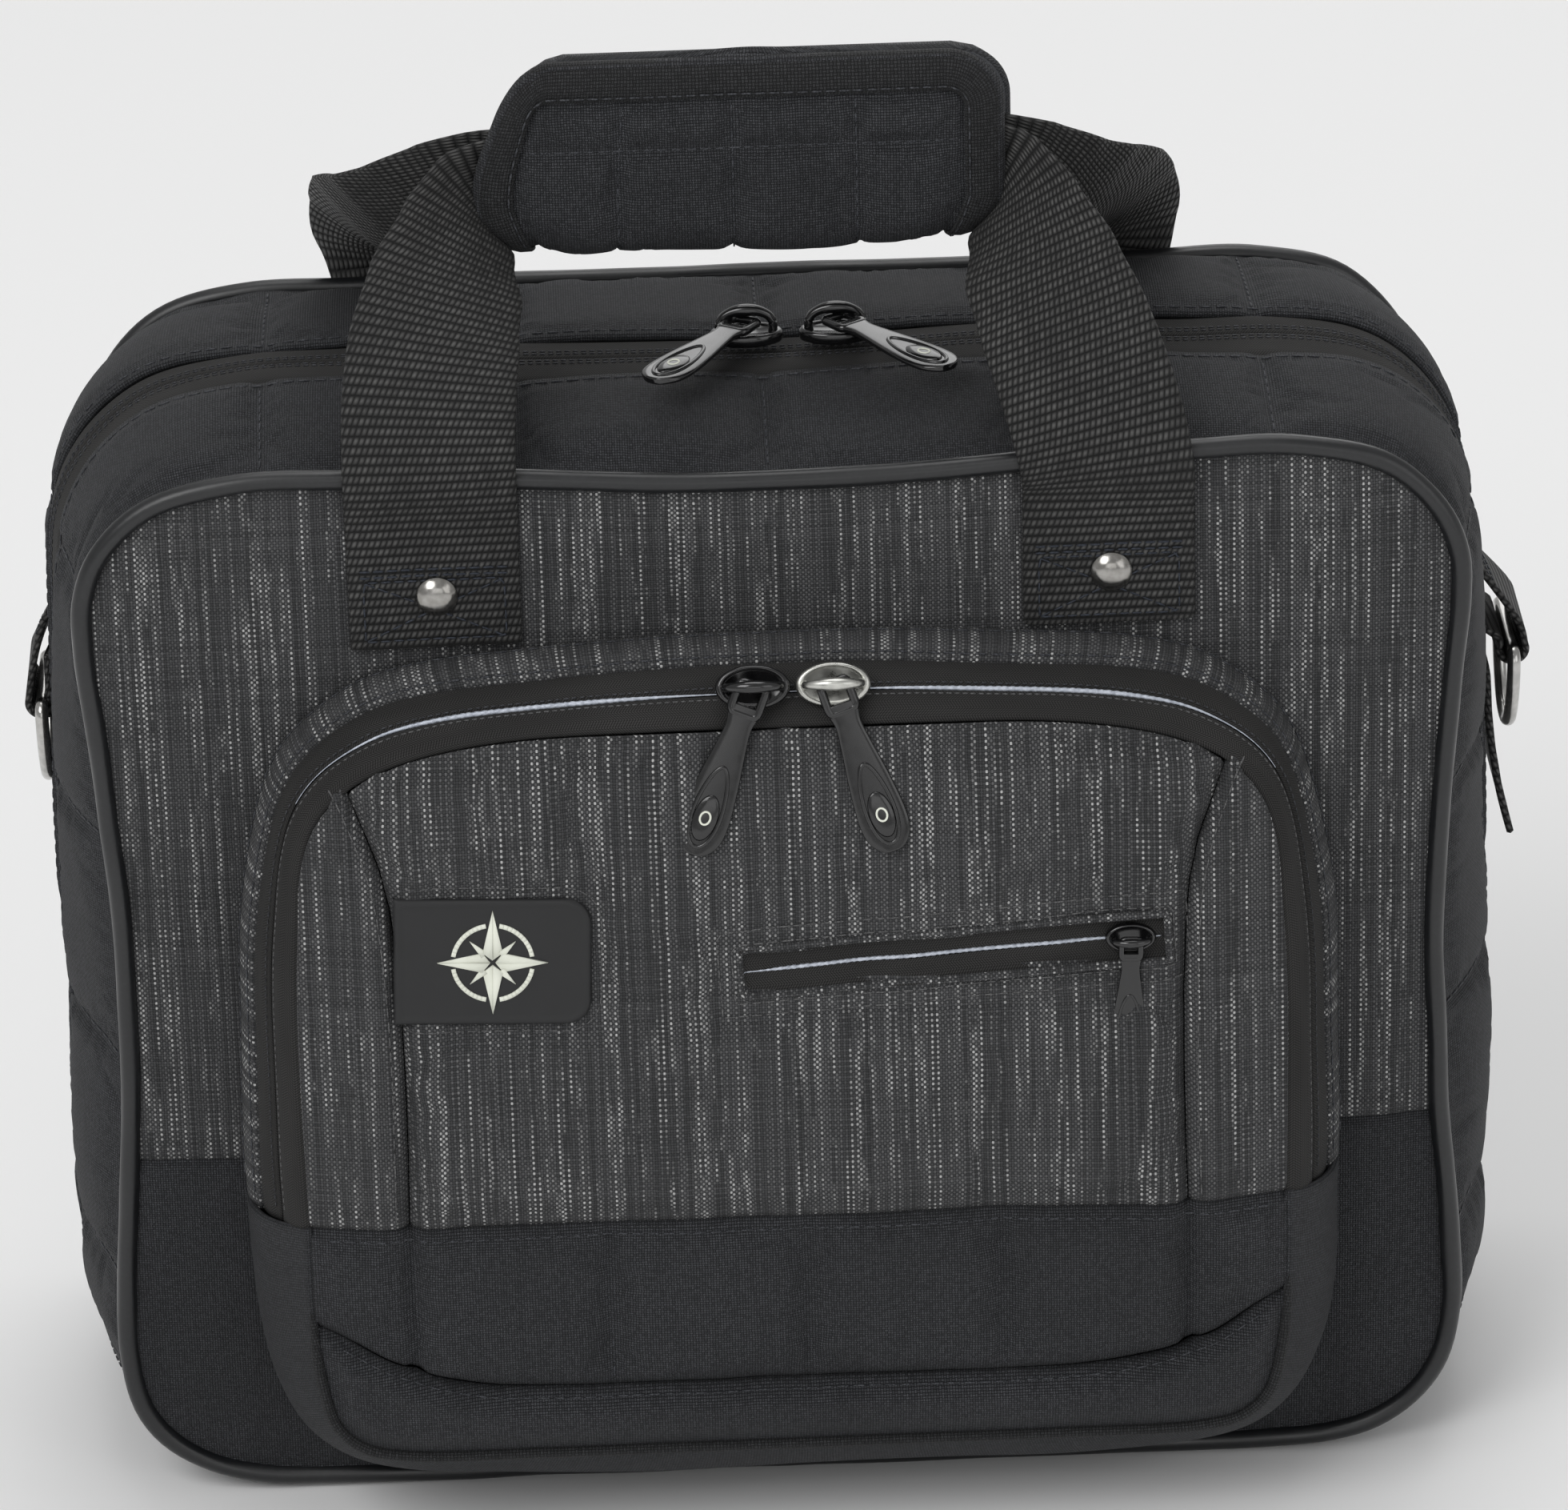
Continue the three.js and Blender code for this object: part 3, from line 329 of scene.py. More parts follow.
def tube(name, path, r, mats, sides=12, closed=False, uv_scale=1.0, ref=None):
    """Round tube along a path (k, 3) in mm, radius a number or one for each point, with round-cut ends."""
    P = np.asarray(path, float)
    k = len(P)
    T = unit(np.roll(P, -1, 0) - np.roll(P, 1, 0)) if closed else unit(np.gradient(P, axis=0))
    R = np.broadcast_to(np.asarray(r, float), (k,))
    up = np.array([0, 0, 1.0]) if ref is None else np.array(ref, float)
    A = np.cross(T, up)
    bad = np.linalg.norm(A, axis=1) < 0.2
    A[bad] = np.cross(T[bad], [0, 1.0, 0.3])
    A = unit(A)
    for i in range(1, k):  # keeps the section from flipping
        if A[i] @ A[i - 1] < 0:
            A[i] = -A[i]
    B = np.cross(A, T)
    ang = np.arange(sides) / sides * 2 * np.pi
    ring = P[:, None] + R[:, None, None] * (np.cos(ang)[None, :, None] * A[:, None] + np.sin(ang)[None, :, None] * B[:, None])
    verts = ring.reshape(-1, 3)
    faces, uv = [], []
    L = np.concatenate([[0], np.cumsum(np.linalg.norm(np.diff(P, axis=0), axis=1))])
    for i in range(k if closed else k - 1):
        i2 = (i + 1) % k
        for j in range(sides):
            j2 = (j + 1) % sides
            faces.append([i * sides + j, i * sides + j2, i2 * sides + j2, i2 * sides + j])
            a, b = L[i], (L[i + 1] if i + 1 < k else L[i] + 1)
            c, d = j / sides * 2 * np.pi * R[i], (j + 1) / sides * 2 * np.pi * R[i]
            uv += [[a * uv_scale, c], [a * uv_scale, d], [b * uv_scale, d], [b * uv_scale, c]]
    if not closed:
        faces.append(list(range(sides))[::-1])
        faces.append([(k - 1) * sides + j for j in range(sides)])
        uv += [[0, 0]] * (2 * sides)
    o = to_object(name, verts, faces, uv, mats)
    me = o.data
    vol = 0.0  # faces point outwards
    co = verts
    f0 = np.array([f for f in faces if len(f) == 4])
    vol = np.einsum("ij,ij->", co[f0[:, 0]], np.cross(co[f0[:, 1]], co[f0[:, 2]]))
    if vol < 0:
        me.flip_normals()
    return o


class Bits:
    """Many small closed shapes gathered into one mesh."""

    def __init__(self):
        self.v, self.f, self.n = [], [], 0

    def add(self, verts, faces):
        self.v.append(np.asarray(verts, float))
        self.f += [[int(a) + self.n for a in f] for f in faces]
        self.n += len(verts)

    def make(self, name, mat):
        if not self.v:
            return None
        return to_object(name, np.concatenate(self.v), self.f, None, [mat])


_K = 5
_ang = np.arange(_K) / _K * 2 * np.pi
_ST_R = [(-0.5, 0.35), (-0.36, 0.85), (0.0, 1.0), (0.36, 0.85), (0.5, 0.35)]
_ST_V = np.array([[a, b * math.cos(t), b * math.sin(t)] for a, b in _ST_R for t in _ang])
_ST_F = [[i * _K + j, i * _K + (j + 1) % _K, (i + 1) * _K + (j + 1) % _K, (i + 1) * _K + j] for i in range(4) for j in range(_K)] + [
    list(range(_K))[::-1], [4 * _K + j for j in range(_K)]]
_ST_F = [f[::-1] for f in _ST_F]


def stitches(bits, path, normals, length=2.7, gap=0.9, r=0.3, sink=0.12, wobble=0.06):
    """A row of thread stitches along a path on a surface."""
    P = np.asarray(path, float)
    if np.ndim(normals) == 1:
        normals = np.repeat(np.array([normals], float), len(P), 0)
    L = np.concatenate([[0], np.cumsum(np.linalg.norm(np.diff(P, axis=0), axis=1))])
    total = L[-1]
    n = int(total // (length + gap))
    if n < 1:
        return
    pitch = total / n
    at = lambda s, A: np.array([np.interp(s, L, A[:, k]) for k in range(3)])
    for i in range(n):
        a, b = i * pitch + gap / 2, (i + 1) * pitch - gap / 2
        p, q = at(a, P), at(b, P)
        nn = at((a + b) / 2, np.asarray(normals, float))
        d = q - p
        l = np.linalg.norm(d)
        if l < 1e-3:
            continue
        d = d / l
        nn = nn - (nn @ d) * d
        nn = nn / max(np.linalg.norm(nn), 1e-9)
        s = np.cross(nn, d)
        c = (p + q) / 2 + nn * (r - sink) + s * wobble * math.sin(i * 12.9898)
        M = np.stack([d * l, s * r, nn * r * 0.8], 0)
        bits.add(c + _ST_V @ M, _ST_F)


def place(o, body_name):
    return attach(o, body_name)


# ------------------------------------------------------------------ cloth simulation of the padded panels
SIM_LOG = []


def billow(P, pin, sgn, pressure=3.0, frames=18, cap=1.6, grow=0.03, bend=0.5):
    """Outer sheet P (n, m, 3), held where pin is 1, pushed out by its padding in a cloth simulation."""
    n, m = P.shape[:2]
    scale = 0.01
    idx = np.arange(n * m).reshape(n, m)
    q = np.stack([idx[:-1, :-1], idx[1:, :-1], idx[1:, 1:], idx[:-1, 1:]], -1).reshape(-1, 4)
    if sgn < 0:
        q = q[:, ::-1]
    me = bpy.data.meshes.new("sim_sheet")
    me.from_pydata((P.reshape(-1, 3) * scale).tolist(), [], q.tolist())
    o = bpy.data.objects.new("sim_sheet", me)
    sc = bpy.context.scene
    sc.collection.objects.link(o)
    vg = o.vertex_groups.new(name="pin")
    w = np.clip(np.asarray(pin, float).ravel(), 0, 1)
    for lv in range(1, 11):
        ids = np.nonzero((w > (lv - 1) / 10 + 1e-6) & (w <= lv / 10 + 1e-6))[0].tolist()
        if ids:
            vg.add(ids, lv / 10, "REPLACE")
    mod = o.modifiers.new("cloth", "CLOTH")
    s = mod.settings
    s.quality, s.mass = 5, 0.2
    s.tension_stiffness = s.compression_stiffness = 18
    s.shear_stiffness, s.bending_stiffness = 6, bend
    s.vertex_group_mass = "pin"
    s.use_pressure, s.uniform_pressure_force = True, pressure
    s.effector_weights.gravity = 0
    s.shrink_min = -grow
    mod.collision_settings.use_collision = False
    mod.point_cache.frame_start, mod.point_cache.frame_end = 1, frames
    for f in range(1, frames + 1):
        sc.frame_set(f)
    ev = o.evaluated_get(bpy.context.evaluated_depsgraph_get())
    m2 = ev.to_mesh()
    co = np.empty(len(m2.vertices) * 3, np.float32)
    m2.vertices.foreach_get("co", co)
    ev.to_mesh_clear()
    bpy.data.objects.remove(o)
    bpy.data.meshes.remove(me)
    sc.frame_set(1)
    D = co.reshape(n, m, 3).astype(float) / scale - P
    if not np.all(np.isfinite(D)):
        return P
    L = np.linalg.norm(D, axis=-1, keepdims=True)
    SIM_LOG.append(float(L.max()))
    return P + D * np.minimum(1.0, cap * np.tanh(L / cap) / np.maximum(L, 1e-9)) * (1 - w.reshape(n, m, 1))


def ridge(d, half):
    """1 on a sewn line, 0 away from it."""
    return np.clip(1.4 - np.abs(d) / half, 0, 1)


# ------------------------------------------------------------------ camera, stage and light
def look_camera():
    el, az, roll = (math.radians(a) for a in (25.0, -1.5, 1.5))
    back = Vector((math.sin(az) * math.cos(el), -math.cos(az) * math.cos(el), math.sin(el)))
    right = (-back).cross(Vector((0, 0, 1))).normalized()
    up = right.cross(-back)
    r2 = right * math.cos(roll) - up * math.sin(roll)
    u2 = right * math.sin(roll) + up * math.cos(roll)
    cam = bpy.data.objects.new("camera", bpy.data.cameras.new("camera"))
    bpy.context.scene.collection.objects.link(cam)
    cam.data.sensor_width = 36.0
    cam.data.lens = 191.4
    cam.data.clip_start, cam.data.clip_end = 0.05, 50
    target = Vector((1.8, -52, 185)) * MM
    m = Matrix((r2, u2, back)).transposed().to_4x4()
    m.translation = target + back * 1.9
    cam.matrix_world = m
    bpy.context.scene.camera = cam


def area(name, loc, size, power, aim=(0, -0.02, 0.14), color=(1, 1, 1), size_y=None):
    l = bpy.data.lights.new(name, "AREA")
    l.shape = "RECTANGLE"
    l.size, l.size_y = size, size_y or size
    l.energy, l.color = power, color
    o = bpy.data.objects.new(name, l)
    bpy.context.scene.collection.objects.link(o)
    o.location = loc
    o.rotation_mode = "QUATERNION"
    o.rotation_quaternion = (Vector(aim) - Vector(loc)).to_track_quat("-Z", "Y")


def stage_and_light():
    floor_m = bpy.data.materials.new("stage_floor")
    floor_m.use_nodes = True
    b = floor_m.node_tree.nodes["Principled BSDF"]
    b.inputs["Base Color"].default_value = (0.93, 0.93, 0.93, 1)
    b.inputs["Roughness"].default_value = 0.9
    b.inputs["Specular IOR Level"].default_value = 0.15
    # a floor that turns up into a wall far behind the bag
    prof = [(-6.0, 0.0), (3.2, 0.0)]
    for i in range(1, 13):
        a = i / 12 * math.pi / 2
        prof.append((3.2 + 1.6 * math.sin(a), 1.6 - 1.6 * math.cos(a)))
    prof.append((4.8, 5.0))
    v, f = [], []
    for y, z in prof:
        v += [(-9, y, z - 0.0006), (9, y, z - 0.0006)]
    for i in range(len(prof) - 1):
        f.append((2 * i, 2 * i + 1, 2 * i + 3, 2 * i + 2))
    me = bpy.data.meshes.new("floor")
    me.from_pydata(v, [], f)
    me.polygons.foreach_set("use_smooth", [True] * len(f))
    me.materials.append(floor_m)
    fl = bpy.data.objects.new("floor", me)
    bpy.context.scene.collection.objects.link(fl)
    w = bpy.data.worlds.new("world")
    bpy.context.scene.world = w
    w.use_nodes = True
    w.node_tree.nodes["Background"].inputs[0].default_value = (1, 1, 1, 1)
    w.node_tree.nodes["Background"].inputs[1].default_value = 0.42
    area("key", (-1.25, -1.7, 2.1), 1.5, 30)
    area("fill", (1.9, -1.9, 1.1), 1.6, 8)
    area("front", (0.1, -2.9, 0.9), 1.9, 6, size_y=1.2)
    area("top", (0.1, 0.5, 2.3), 1.3, 12)
    area("back", (0.5, 2.4, 1.6), 1.6, 10)
    bpy.context.scene.view_settings.view_transform = "Standard"
    bpy.context.scene.view_settings.look = "None"


look_camera()
stage_and_light()


# ------------------------------------------------------------------ materials
class Mat:
    """Short hand for a node material."""

    def __init__(self, name):
        self.mat = bpy.data.materials.new(name)
        self.mat.use_nodes = True
        self.t = self.mat.node_tree
        self.bsdf = self.t.nodes["Principled BSDF"]

    def new(self, kind, **kw):
        n = self.t.nodes.new(kind)
        for k, v in kw.items():
            setattr(n, k, v)
        return n

    def put(self, sock, v):
        if isinstance(v, bpy.types.NodeSocket):
            self.t.links.new(v, sock)
        elif v is not None:
            sock.default_value = v

    def m(self, op, a, b=None, c=None, clamp=False):
        n = self.new("ShaderNodeMath", operation=op, use_clamp=clamp)
        for s, v in zip(n.inputs, (a, b, c)):
            self.put(s, v)
        return n.outputs[0]

    def add(self, a, b): return self.m("ADD", a, b)
    def sub(self, a, b): return self.m("SUBTRACT", a, b)
    def mul(self, a, b): return self.m("MULTIPLY", a, b)

    def absin(self, x, power=0.6):
        """|sin(pi x)| to a power"""
        return self.m("POWER", self.m("ABSOLUTE", self.m("SINE", self.mul(x, math.pi))), power)

    def ramp(self, x, a, b, lo=0.0, hi=1.0, kind="SMOOTHSTEP"):
        n = self.new("ShaderNodeMapRange", interpolation_type=kind)
        self.put(n.inputs["Value"], x)
        n.inputs["From Min"].default_value, n.inputs["From Max"].default_value = a, b
        n.inputs["To Min"].default_value, n.inputs["To Max"].default_value = lo, hi
        return n.outputs["Result"]

    def mix(self, f, a, b, blend="MIX"):
        n = self.new("ShaderNodeMix", data_type="RGBA", blend_type=blend)
        self.put(n.inputs[0], f)
        self.put(n.inputs[6], a if isinstance(a, bpy.types.NodeSocket) else (*a, 1))
        self.put(n.inputs[7], b if isinstance(b, bpy.types.NodeSocket) else (*b, 1))
        return n.outputs[2]

    def xyz(self, x, y, z=0.0):
        n = self.new("ShaderNodeCombineXYZ")
        for s, v in zip(n.inputs, (x, y, z)):
            self.put(s, v)
        return n.outputs[0]

    def noise(self, vec, scale=1.0, detail=2.0, rough=0.5, dim="3D"):
        n = self.new("ShaderNodeTexNoise", noise_dimensions=dim)
        self.put(n.inputs["Vector"], vec)
        n.inputs["Scale"].default_value = scale
        n.inputs["Detail"].default_value = detail
        n.inputs["Roughness"].default_value = rough
        return n.outputs["Fac"]

    def white(self, vec, dim="2D"):
        n = self.new("ShaderNodeTexWhiteNoise", noise_dimensions=dim)
        self.put(n.inputs["Vector"], vec)
        return n.outputs["Value"]

    def uv(self):
        """The cloth's own coordinates, in mm."""
        n = self.new("ShaderNodeUVMap")
        n.uv_map = "cloth"
        s = self.new("ShaderNodeSeparateXYZ")
        self.t.links.new(n.outputs[0], s.inputs[0])
        return self.mul(s.outputs[0], 100.0), self.mul(s.outputs[1], 100.0)

    def obj(self, scale=1000.0):
        n = self.new("ShaderNodeTexCoord")
        v = self.new("ShaderNodeVectorMath", operation="SCALE")
        self.t.links.new(n.outputs["Object"], v.inputs[0])
        v.inputs["Scale"].default_value = scale
        return v.outputs[0]

    def bump(self, height, distance, strength=1.0, normal=None):
        n = self.new("ShaderNodeBump")
        n.inputs["Strength"].default_value = strength
        n.inputs["Distance"].default_value = distance
        self.put(n.inputs["Height"], height)
        if normal is not None:
            self.put(n.inputs["Normal"], normal)
        return n.outputs[0]

    def done(self, color=None, rough=None, normal=None, **const):
        b = self.bsdf
        if color is not None:
            self.put(b.inputs["Base Color"], color if isinstance(color, bpy.types.NodeSocket) else (*color, 1))
        if rough is not None:
            self.put(b.inputs["Roughness"], rough)
        if normal is not None:
            self.put(b.inputs["Normal"], normal)
        for k, v in const.items():
            b.inputs[k.replace("_", " ")].default_value = v
        return self.mat


def weave(M, u, v, pu, pv, jitter=0.12):
    """Plain weave. Returns height 0..1, how much the lengthwise yarn is on top, and the scaled coordinates."""
    wob = M.noise(M.xyz(M.mul(u, 0.16), M.mul(v, 0.16)), 1.0, 1.0)
    wob2 = M.noise(M.xyz(M.mul(u, 0.13), M.mul(v, 0.13), 7.0), 1.0, 1.0)
    a = M.add(M.mul(u, 1 / pu), M.mul(M.sub(wob, 0.5), jitter * 4))
    b = M.add(M.mul(v, 1 / pv), M.mul(M.sub(wob2, 0.5), jitter * 4))
    sa, sb = M.m("SINE", M.mul(a, math.pi)), M.m("SINE", M.mul(b, math.pi))
    over = M.m("MULTIPLY_ADD", M.mul(sa, sb), 1.7, 0.5, clamp=True)
    wa = M.m("POWER", M.m("ABSOLUTE", sa), 0.55)
    wb = M.m("POWER", M.m("ABSOLUTE", sb), 0.55)
    warp = M.mul(wa, M.m("MULTIPLY_ADD", over, 0.6, 0.4))
    weft = M.mul(wb, M.m("MULTIPLY_ADD", M.sub(1.0, over), 0.6, 0.4))
    return M.m("MAXIMUM", warp, weft), over, a, b


# make_black_cloth: high is a painted highlight colour for the yarn crowns; base is the colour between the yarns, with
# painted shade
def make_black_cloth(name="black_cloth", base=(0.0066, 0.0071, 0.0083), high=(0.058, 0.060, 0.066), pitch=0.62):
    M = Mat(name)
    u, v = M.uv()
    h, over, a, b = weave(M, u, v, pitch, pitch * 0.92)
    yarn = M.white(M.xyz(M.m("FLOOR", a), M.m("FLOOR", b)))
    streak = M.noise(M.xyz(M.mul(u, 0.5), M.mul(v, 0.03)), 1.0, 2.0)
    cloud = M.noise(M.xyz(M.mul(u, 0.018), M.mul(v, 0.018), 3.0), 1.0, 3.0, 0.6)
    # painted highlight and shade: the colour goes from base to high with the weave height h, light on the yarn crowns
    # and dark between them; yarn, streak and cloud add random tone
    f = M.mul(M.m("POWER", h, 3.2), M.m("MULTIPLY_ADD", yarn, 0.7, 0.45))
    f = M.mul(f, M.m("MULTIPLY_ADD", streak, 0.5, 0.72))
    f = M.mul(f, M.ramp(cloud, 0.3, 0.7, 0.8, 1.15))
    col = M.mix(M.m("MULTIPLY", f, 0.9, clamp=True), base, high)
    rough = M.ramp(cloud, 0.2, 0.8, 0.62, 0.78)
    nor = M.bump(h, 0.00035, 0.9)
    return M.done(col, rough, nor, Specular_IOR_Level=0.26, Sheen_Weight=0.03, Sheen_Roughness=0.5)


def make_melange():
    M = Mat("melange_cloth")
    u, v = M.uv()
    h, over, a, b = weave(M, u, v, 0.62, 0.64, 0.08)
    ia, ib = M.m("FLOOR", a), M.m("FLOOR", b)
    col_r = M.white(M.xyz(ia, 3.0))
    # pale slubs run along single lengthwise yarns
    long_ = M.noise(M.xyz(M.mul(ia, 7.31), M.mul(v, 0.028)), 1.0, 1.0)
    short = M.noise(M.xyz(M.mul(ia, 3.17), M.mul(v, 0.16), 9.0), 1.0, 1.0)
    s = M.add(long_, M.m("MULTIPLY_ADD", short, 0.34, -0.17))
    s = M.ramp(M.add(s, M.m("MULTIPLY_ADD", col_r, 0.3, -0.15)), 0.54, 0.74)
    cell = M.white(M.xyz(ia, ib))
    s = M.mul(s, M.ramp(cell, 0.05, 0.6, 0.3, 1.0))
    grey = M.m("MULTIPLY_ADD", M.white(M.xyz(ia, 11.0)), 0.55, M.mul(M.noise(M.xyz(M.mul(ia, 5.1), M.mul(v, 0.03), 2.0), 1.0, 1.0), 0.6))
    warp_c = M.mix(M.ramp(grey, 0.2, 0.95), (0.032, 0.0325, 0.033), (0.118, 0.118, 0.120))
    warp_c = M.mix(s, warp_c, (0.47, 0.47, 0.465))
    weft_c = M.mix(M.white(M.xyz(ib, 5.0)), (0.032, 0.033, 0.035), (0.058, 0.059, 0.062))
    col = M.mix(M.ramp(over, 0.4, 0.6), weft_c, warp_c)
    # painted shade: the colour is darkened towards near-black where the weave height h is low, in the gaps between the
    # yarns
    col = M.mix(M.ramp(h, 0.3, 0.8), M.mix(0.8, col, (0.006, 0.006, 0.0065)), col)
    nor = M.bump(h, 0.00032, 0.8)
    return M.done(col, 0.82, nor, Specular_IOR_Level=0.24, Sheen_Weight=0.03, Sheen_Roughness=0.5)


def make_webbing(name="webbing", tint=1.0):
    M = Mat(name)
    u, v = M.uv()
    row = M.mul(v, 1 / 2.05)
    i = M.m("FLOOR", row)
    fr = M.m("FRACT", row)
    rib = M.m("POWER", M.m("SINE", M.mul(fr, math.pi)), 0.55)
    # slanted yarn crowns along each rib
    sl = M.add(M.add(M.mul(u, 1 / 1.32), M.mul(i, 0.5)), M.mul(fr, -0.55))
    yarn = M.absin(sl, 0.7)
    cellr = M.white(M.xyz(M.m("FLOOR", sl), i))
    h = M.mul(rib, M.m("MULTIPLY_ADD", yarn, 0.6, 0.4))
    tone = M.noise(M.xyz(M.mul(u, 0.05), M.mul(v, 0.02)), 1.0, 3.0)
    # painted highlight and shade: the colour goes from near-black in the grooves between ribs to grey on the yarn
    # crowns with the height h; cellr and tone add random tone
    f = M.mul(M.m("POWER", h, 3.0), M.m("MULTIPLY_ADD", cellr, 0.6, 0.5))
    f = M.mul(f, M.ramp(tone, 0.3, 0.7, 0.8, 1.12))
    col = M.mix(M.m("MULTIPLY", f, 1.0, clamp=True), (0.0042 * tint, 0.0042 * tint, 0.0043 * tint), (0.078 * tint, 0.077 * tint, 0.075 * tint))
    nor = M.bump(h, 0.0006, 1.0)
    return M.done(col, M.ramp(h, 0.2, 1.0, 0.8, 0.5), nor, Specular_IOR_Level=0.36, Sheen_Weight=0.02, Sheen_Roughness=0.4)


def make_tape():
    M = Mat("zip_tape")
    u, v = M.uv()  # u along the zip, v across
    z = M.m("PINGPONG", M.mul(v, 1.0), 1.9)
    d = M.add(M.mul(u, 1 / 0.62), M.mul(z, 1.15))
    h = M.absin(d, 0.8)
    fine = M.absin(M.mul(v, 1 / 0.6), 0.8)
    hh = M.m("MULTIPLY_ADD", h, 0.7, M.mul(fine, 0.3))
    c = M.noise(M.xyz(M.mul(u, 0.03), M.mul(v, 0.1)), 1.0, 2.0)
    # painted highlight and shade: the colour follows the herringbone height hh, light on the ridges and near-black
    # between them; c adds random tone
    f = M.mul(M.m("POWER", hh, 2.0), M.ramp(c, 0.3, 0.7, 0.75, 1.1))
    col = M.mix(M.m("MULTIPLY", f, 1.0, clamp=True), (0.0058, 0.0057, 0.0056), (0.044, 0.043, 0.042))
    return M.done(col, 0.85, M.bump(hh, 0.00012, 0.7), Specular_IOR_Level=0.22, Sheen_Weight=0.02)


def make_lining():
    M = Mat("lining_cloth")
    u, v = M.uv()
    h, over, a, b = weave(M, u, v, 0.42, 0.42, 0.05)
    # ripstop lines
    gu = M.ramp(M.m("ABSOLUTE", M.sub(M.m("FRACT", M.mul(u, 1 / 6.0)), 0.5)), 0.0, 0.06, 1.0, 0.0)
    gv = M.ramp(M.m("ABSOLUTE", M.sub(M.m("FRACT", M.mul(v, 1 / 6.0)), 0.5)), 0.0, 0.06, 1.0, 0.0)
    g = M.m("MAXIMUM", gu, gv)
    cloud = M.noise(M.xyz(M.mul(u, 0.02), M.mul(v, 0.02)), 1.0, 3.0)
    col = M.mix(M.ramp(cloud, 0.3, 0.7), (0.05, 0.053, 0.06), (0.07, 0.073, 0.08))
    col = M.mix(M.mul(g, 0.5), col, (0.1, 0.103, 0.11))
    # painted shade: the colour is darkened where the weave height h is low, between the yarns
    col = M.mix(M.ramp(h, 0.2, 0.8, 0.4, 0.0), col, (0.02, 0.02, 0.022))
    hh = M.add(h, M.mul(g, 0.7))
    return M.done(col, 0.55, M.bump(hh, 0.0001, 0.7), Specular_IOR_Level=0.45, Sheen_Weight=0.1)


def make_vinyl(name="vinyl_piping", base=(0.0055, 0.006, 0.007), rough=0.36):
    M = Mat(name)
    o = M.obj()
    n1 = M.noise(o, 0.9, 3.0, 0.6)
    n2 = M.noise(o, 0.05, 2.0)
    col = M.mix(M.ramp(n1, 0.4, 0.8), base, tuple(c * 1.7 for c in base))
    r = M.ramp(n2, 0.3, 0.7, rough - 0.05, rough + 0.1)
    return M.done(col, r, M.bump(n1, 0.0001, 0.35), Specular_IOR_Level=0.55, Coat_Weight=0.15, Coat_Roughness=0.3)


def make_thread(name="thread", dark=(0.012, 0.013, 0.016), light=(0.062, 0.065, 0.074)):
    M = Mat(name)
    o = M.obj()
    n1 = M.noise(o, 2.2, 2.0)
    col = M.mix(M.ramp(n1, 0.35, 0.7), dark, light)
    return M.done(col, 0.6, M.bump(n1, 0.00006, 0.5), Specular_IOR_Level=0.4, Sheen_Weight=0.02)


def make_metal(name, dark, light, metal, rough, coat=0.0, scale=0.35):
    M = Mat(name)
    o = M.obj()
    n1 = M.noise(o, scale, 4.0, 0.6)
    n2 = M.noise(o, 3.5, 2.0)
    col = M.mix(M.ramp(n1, 0.3, 0.75), dark, light)
    r = M.ramp(M.add(n1, M.mul(n2, 0.3)), 0.4, 0.9, rough * 0.8, rough * 1.35)
    return M.done(col, r, M.bump(n2, 0.00001, 0.2), Metallic=metal, Coat_Weight=coat, Coat_Roughness=0.12, Specular_IOR_Level=0.55)


def make_rubber(name, dark, light, rough=0.58):
    M = Mat(name)
    o = M.obj()
    n1 = M.noise(o, 3.0, 3.0, 0.6)
    n2 = M.noise(o, 0.12, 3.0)
    col = M.mix(M.ramp(n2, 0.3, 0.75), dark, light)
    return M.done(col, M.ramp(n2, 0.3, 0.7, rough - 0.06, rough + 0.1), M.bump(n1, 0.00007, 0.5), Specular_IOR_Level=0.45)


def make_board():
    M = Mat("stiffener_board")
    o = M.obj()
    n1 = M.noise(o, 1.6, 4.0, 0.65)
    n2 = M.noise(o, 0.06, 3.0)
    col = M.mix(M.ramp(n1, 0.35, 0.7), (0.014, 0.014, 0.014), (0.035, 0.034, 0.033))
    col = M.mix(M.ramp(n2, 0.45, 0.75, 0.0, 0.3), col, (0.05, 0.048, 0.045))
    return M.done(col, 0.62, M.bump(n1, 0.0003, 0.5))


# in black_cloth, black_cloth_padded and binding_tape the second colour is a painted highlight on the yarn crowns and
# the first the colour between yarns with painted shade
BLACK = make_black_cloth()
BLACK_SOFT = make_black_cloth("black_cloth_padded", (0.0068, 0.0073, 0.0086), (0.060, 0.062, 0.068), 0.64)
MELANGE = make_melange()
WEBBING = make_webbing()
TAPE = make_tape()
LINING = make_lining()
VINYL = make_vinyl()
BINDING = make_black_cloth("binding_tape", (0.0055, 0.0056, 0.006), (0.036, 0.037, 0.039), 0.8)
THREAD = make_thread()
THREAD_GREY = make_thread("thread_grey", (0.05, 0.05, 0.052), (0.13, 0.13, 0.13))
THREAD_BLUE = make_thread("thread_blue_black", (0.012, 0.015, 0.022), (0.03, 0.036, 0.05))
SILVER = make_metal("reflective_coil", (0.34, 0.37, 0.43), (0.62, 0.66, 0.74), 0.25, 0.4, 0.2, 0.8)
BLACK_METAL = make_metal("black_enamel", (0.0035, 0.0035, 0.0038), (0.0065, 0.0065, 0.007), 0.0, 0.17, 0.45)
BARE_METAL = make_metal("bare_zinc", (0.5, 0.5, 0.47), (0.66, 0.66, 0.62), 1.0, 0.3)
NICKEL = make_metal("nickel_plate", (0.42, 0.415, 0.4), (0.6, 0.59, 0.57), 1.0, 0.2)
GUN_NICKEL = make_metal("dark_nickel", (0.3, 0.29, 0.27), (0.46, 0.45, 0.43), 1.0, 0.2)
